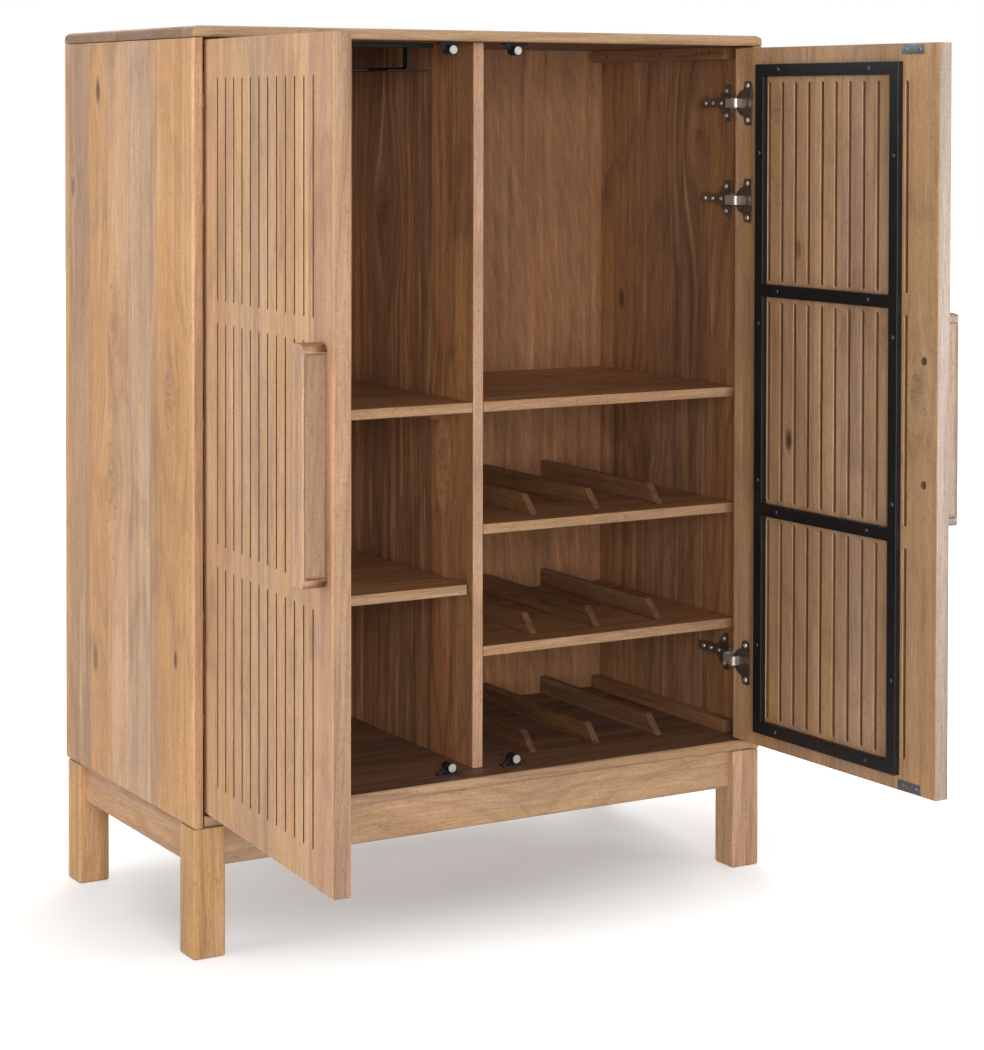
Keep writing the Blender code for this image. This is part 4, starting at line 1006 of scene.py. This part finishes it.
def finish_door(side, seed, turn, space):
    """A door with its pits and all its finishes."""
    unturned = Matrix.Rotation(turn, 4, "Z") @ space
    knots = [((unturned @ Vector((u, 0, 0))).x, z, radius, strength)
             for u, z, radius, strength in DOOR_KNOTS[side]]
    mesh = join_triangles(f"door_{side}", make_flats=False)
    for u, z in PULL_SCREWS:
        pit = make_cylinder(PIT_RADIUS, 2 * PIT_DEPTH, 20)
        bmesh.ops.rotate(pit, matrix=Matrix.Rotation(math.radians(-90), 3, "X"), verts=pit.verts)
        bmesh.ops.translate(pit, vec=(u, DOOR_THICKNESS - PIT_DEPTH, z), verts=pit.verts)
        mesh = carve(mesh, put_in_space(pit, space))
    wood = wood_finish(f"mango_door_{side}", "XYZ", seed, "outer", 62 * MM, turn, 0.85,
                       DOOR_PAINTED_SHADE[side], knots=knots)
    # The walls of the slots and the pits are painted dark as painted shade.
    slot_shade = wood_finish(f"slot_wall_painted_shade_{side}", "XYZ", 38.1, "slot_shade", 62 * MM, turn)
    edge = wood_finish(f"mango_free_edge_{side}", "XYZ", 36.6, turn=turn, **FREE_EDGE_TONE_AND_HIGHLIGHT[side])
    door = dress_node(f"door_{side}", wood, 0, mesh)
    for finish, test in ((slot_shade, is_slot_wall), (edge, is_free_edge), (slot_shade, is_pit),
                         (ZINC_PLATE, is_strike)):
        print(door.name, paint_faces(door, finish, test, space), "faces of", finish.name)


def finish_pull(side, seed, turn, space):
    """A pull with its scoop cut up to the door, and painted shade in the scoop."""
    scoop = make_block(SCOOP_LOW, SCOOP_HIGH)
    bmesh.ops.bevel(scoop, geom=scoop.edges[:], offset=SCOOP_RADIUS, segments=6, profile=0.5,
                    affect="EDGES", material=-1)
    mesh = carve(join_triangles(f"handle_{side}"), put_in_space(scoop, space))
    look = dict(order="XYZ", seed=seed, pick=PULL_PICKS_AND_HIGHLIGHT[side], board=ONE_BOARD, turn=turn)
    wood = wood_finish(f"mango_handle_{side}", **look)
    # The scoop's faces are painted darker as painted shade in the hollow.
    scoop_shade_wood = wood_finish(f"mango_handle_scoop_painted_shade_{side}", shade=SCOOP_PAINTED_SHADE[side], **look)
    pull = dress_node(f"handle_{side}", wood, 0, mesh)
    print(pull.name, paint_faces(pull, scoop_shade_wood, is_scoop, space), "faces of", scoop_shade_wood.name)


for side, (door_seed, pull_seed) in SEEDS.items():
    turn = OPEN_ANGLE[side] if side == "left" else -OPEN_ANGLE[side]
    finish_door(side, door_seed, turn, DOOR_SPACE[side])
    finish_pull(side, pull_seed, turn, DOOR_SPACE[side])

# %% [markdown]
# ## Steel frames, rack, hinges and catches
#
# The door frames and the stemware rack are black powder coat, the hinges are antique nickel with a
# bright link and a painted reflection on the nose of each arm, and the catches are black plastic.
# Sheet and bar steel keep a rounder edge than wood for their size, and on a black coat that edge is
# the only thing that catches light.
#
# The rails of the rack hang from it only at their ends, and the wood behind shows through between.
# The CAD has them closed, so one block is cut out of the copy, through all the rails' webs at once.

# %% Finish the hardware pieces
PLATE_FACE = -415.5 * MM
ARM_NOSE_BACK = 50 * MM
RAIL_SIDE = 4 * MM
RAIL_END = 14 * MM
RAIL_FOOT = 3.5 * MM
RAIL_TOP = 1 * MM


def is_arm_nose_reflection(middle, facing):
    """The end of a hinge's arm in front of its mounting plate, painted bright as a painted
    reflection.
    """
    return middle.y < ARM_NOSE_BACK and middle.x > PLATE_FACE + 2 * MM


for side in ("left", "right"):
    dress_node(f"door_frame_{side}", POWDER_COAT, 0.5 * MM)
    for place in ("top", "middle", "bottom"):
        arm = dress_node(f"hinge_arm_{side}_{place}", ANTIQUE_NICKEL, 0.3 * MM)
        # The arm's nose is painted bright nickel as a painted reflection.
        paint_faces(arm, BRIGHT_NICKEL, is_arm_nose_reflection, CASE_SPACE[side])
        dress_node(f"hinge_cup_{side}_{place}", ANTIQUE_NICKEL, 0.2 * MM)
        dress_node(f"hinge_link_{side}_{place}", BRIGHT_NICKEL, 0.3 * MM)
    for place in ("top", "bottom"):
        dress_node(f"catch_{side}_{place}", MOULDED_PLASTIC, 0.3 * MM)

rack_low, rack_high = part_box("stemware_rack")
opening = make_block(rack_low + Vector((RAIL_SIDE, RAIL_END, RAIL_FOOT)),
                     rack_high + Vector((-RAIL_SIDE, -RAIL_END, RAIL_TOP)))
rack_mesh = carve(join_triangles("stemware_rack"), opening)
dress_node("stemware_rack", POWDER_COAT, 0.4 * MM, rack_mesh)
print("frames, hinges, catches, and a rack of", len(rack_mesh.polygons), "faces")

# %% [markdown]
# ## Screws and magnet faces
#
# A screw head is a low truncated cone with a rounded rim and a cross recess. One head is made for
# each size and then copied to every place, turned a little further each time, because no two
# screws stop at the same angle. The magnet faces of the catches are plain steel discs.

# %% Make the small parts
# Radius and height.
HEAD_SIZES = {"frame": (3.0 * MM, 0.7 * MM), "pull": (4.2 * MM, 1.5 * MM),
              "hinge": (3.6 * MM, 1.6 * MM), "arm": (3.0 * MM, 1.2 * MM),
              "small": (2.6 * MM, 0.9 * MM)}


def round_rim(bm, height, width):
    """Round the upper rim of a low shape that stands on the origin."""
    rim = [edge for edge in bm.edges if all(v.co.z > height / 2 for v in edge.verts)]
    bmesh.ops.bevel(bm, geom=rim, offset=width, segments=2, profile=0.5, affect="EDGES",
                    material=-1)


def make_screw_head(name, radius, height):
    """A low screw head with a rounded rim and a cross recess, on the origin and facing up."""
    bm = bmesh.new()
    bmesh.ops.create_cone(bm, cap_ends=True, segments=16, radius1=radius, radius2=0.8 * radius,
                          depth=height)
    bmesh.ops.translate(bm, vec=(0, 0, height / 2), verts=bm.verts)
    round_rim(bm, height, 0.35 * height)
    head = to_mesh(bm, name)
    for angle in (0, 90):
        arm = bmesh.new()
        bmesh.ops.create_cube(arm, size=1)
        bmesh.ops.scale(arm, vec=(1.1 * radius, 0.26 * radius, height), verts=arm.verts)
        bmesh.ops.rotate(arm, matrix=Matrix.Rotation(math.radians(angle), 3, "Z"), verts=arm.verts)
        bmesh.ops.translate(arm, vec=(0, 0, height), verts=arm.verts)
        head = carve(head, arm)
    return head


def make_disc(name, radius, height):
    """A thin disc with a rounded rim, on the origin and facing up."""
    bm = make_cylinder(radius, height, 24)
    round_rim(bm, height, 0.4 * height)
    return to_mesh(bm, name)


def add_small_parts(name, shape, places, facing, space, material, body):
    """Copies of one shape at the places of a space, all facing one way, as one piece."""
    bm = bmesh.new()
    turn = Vector(facing).to_track_quat("Z", "Y").to_matrix().to_4x4()
    for number, place in enumerate(places):
        before = len(bm.verts)
        bm.from_mesh(shape)
        bm.verts.ensure_lookup_table()
        spin = Matrix.Rotation(0.9 * number, 4, "Z")
        bmesh.ops.transform(bm, matrix=space @ Matrix.Translation(place) @ turn @ spin,
                            verts=bm.verts[before:])
    if space.is_negative:
        bmesh.ops.reverse_faces(bm, faces=bm.faces)
    soften(show_piece(name, to_mesh(bm, name), material, body), 0)


HEADS = {name: make_screw_head(f"{name}_screw_head", *size) for name, size in HEAD_SIZES.items()}
MAGNET_FACE = make_disc("magnet_face", 5.6 * MM, 0.25 * MM)
print({name: len(head.polygons) for name, head in HEADS.items()}, "faces")

# %% [markdown]
# The frame screws, the flange screws and the strike screws ride on their door. The screws of the
# mounting plates, the arms, the catches and the cleat stay with the case. The sizes below say which
# face a set of heads lies on, and where on it they are.

# %% Place the small parts
FRAME_FACE = 31.3 * MM
BARS_U, BAR_RISES = (104.5 * MM, 290 * MM), (28.5 * MM, 330.2 * MM, 631.8 * MM, 933.5 * MM)
POSTS_U, POST_RISES = (64 * MM, 339 * MM), (142 * MM, 370 * MM, 586 * MM, 820 * MM)
HINGE_HEIGHTS = (1071.1 * MM, 935.8 * MM, 292.7 * MM)
FLANGE_U, FLANGE_FACE, FLANGE_HALF = 29 * MM, 23.1 * MM, 24 * MM
STRIKE_U, STRIKE_FACE, STRIKE_HALF = 366.25 * MM, 23.3 * MM, 13 * MM
STRIKE_HEIGHTS = (190.55 * MM, 1139.45 * MM)
PLATE_Y, PLATE_HALF = 62.5 * MM, 17.5 * MM
ARM_FACE, ARM_YS = -411.7 * MM, (70 * MM, 90 * MM, 108 * MM)
CLEAT_FACE, CLEAT_YS, CLEAT_Z = -397.7 * MM, (78 * MM, 110 * MM, 204 * MM, 347 * MM), 1141 * MM
CATCH_X, CATCH_FRONT = -49.5 * MM, 24.3 * MM
EAR_HALF, EAR_Y = 14.5 * MM, 33.3 * MM
# Height of its feet, the way that they face, and height of its magnet.
CATCHES = {"bottom": (182.1 * MM, 1, 190 * MM), "top": (1147.9 * MM, -1, 1140 * MM)}
INWARDS, FORWARDS, SIDEWAYS = (0, 1, 0), (0, -1, 0), (1, 0, 0)

frame_screws = [(u, FRAME_FACE, DOOR_BOTTOM + rise) for u in BARS_U for rise in BAR_RISES]
frame_screws += [(u, FRAME_FACE, DOOR_BOTTOM + rise) for u in POSTS_U for rise in POST_RISES]
pull_screws = [(u, DOOR_THICKNESS - PIT_DEPTH, z) for u, z in PULL_SCREWS]
flange_screws = [(FLANGE_U, FLANGE_FACE, z + way * FLANGE_HALF)
                 for z in HINGE_HEIGHTS for way in (-1, 1)]
strike_screws = [(STRIKE_U + way * STRIKE_HALF, STRIKE_FACE, z)
                 for z in STRIKE_HEIGHTS for way in (-1, 1)]
plate_screws = [(PLATE_FACE, PLATE_Y, z + way * PLATE_HALF)
                for z in HINGE_HEIGHTS for way in (-1, 1)]
arm_screws = [(ARM_FACE, y, z) for z in HINGE_HEIGHTS for y in ARM_YS]
cleat_screws = [(CLEAT_FACE, y, CLEAT_Z) for y in CLEAT_YS]
DOOR_SCREWS = (("frame_screws", "frame", frame_screws, SCREW_STEEL, "bright_steel"),
               ("pull_screws", "pull", pull_screws, ANTIQUE_NICKEL, "nickel"),
               ("flange_screws", "hinge", flange_screws, BRIGHT_NICKEL, "bright_steel"),
               ("strike_screws", "small", strike_screws, ZINC_PLATE, "bright_steel"))
HINGE_SCREWS = (("plate_screws", "hinge", plate_screws), ("arm_screws", "arm", arm_screws))

for side in ("left", "right"):
    case_space = CASE_SPACE[side]
    for name, head, places, material, slot in DOOR_SCREWS:
        add_small_parts(f"{name}_{side}", HEADS[head], places, INWARDS, DOOR_SPACE[side], material,
                        f"door_{side}_body")
    for name, head, places in HINGE_SCREWS:
        add_small_parts(f"{name}_{side}", HEADS[head], places, SIDEWAYS, case_space, BRIGHT_NICKEL,
                        "root")
    for place, (ear_z, up, magnet_z) in CATCHES.items():
        ears = [(CATCH_X + way * EAR_HALF, EAR_Y, ear_z) for way in (-1, 1)]
        add_small_parts(f"catch_screws_{side}_{place}", HEADS["small"], ears, (0, 0, up),
                        case_space, SCREW_STEEL, "root")
        magnet = [(CATCH_X, CATCH_FRONT, magnet_z)]
        add_small_parts(f"magnet_face_{side}_{place}", MAGNET_FACE, magnet, FORWARDS, case_space,
                        BRIGHT_NICKEL, "root")
add_small_parts("cleat_screws", HEADS["small"], cleat_screws, SIDEWAYS, CASE_SPACE["right"],
                SCREW_STEEL, "root")
print(2 * sum(len(places) for _, _, places, *_ in DOOR_SCREWS + HINGE_SCREWS), "screws on hinges,"
      " frames, pulls and strikes, and the magnet faces are in place")
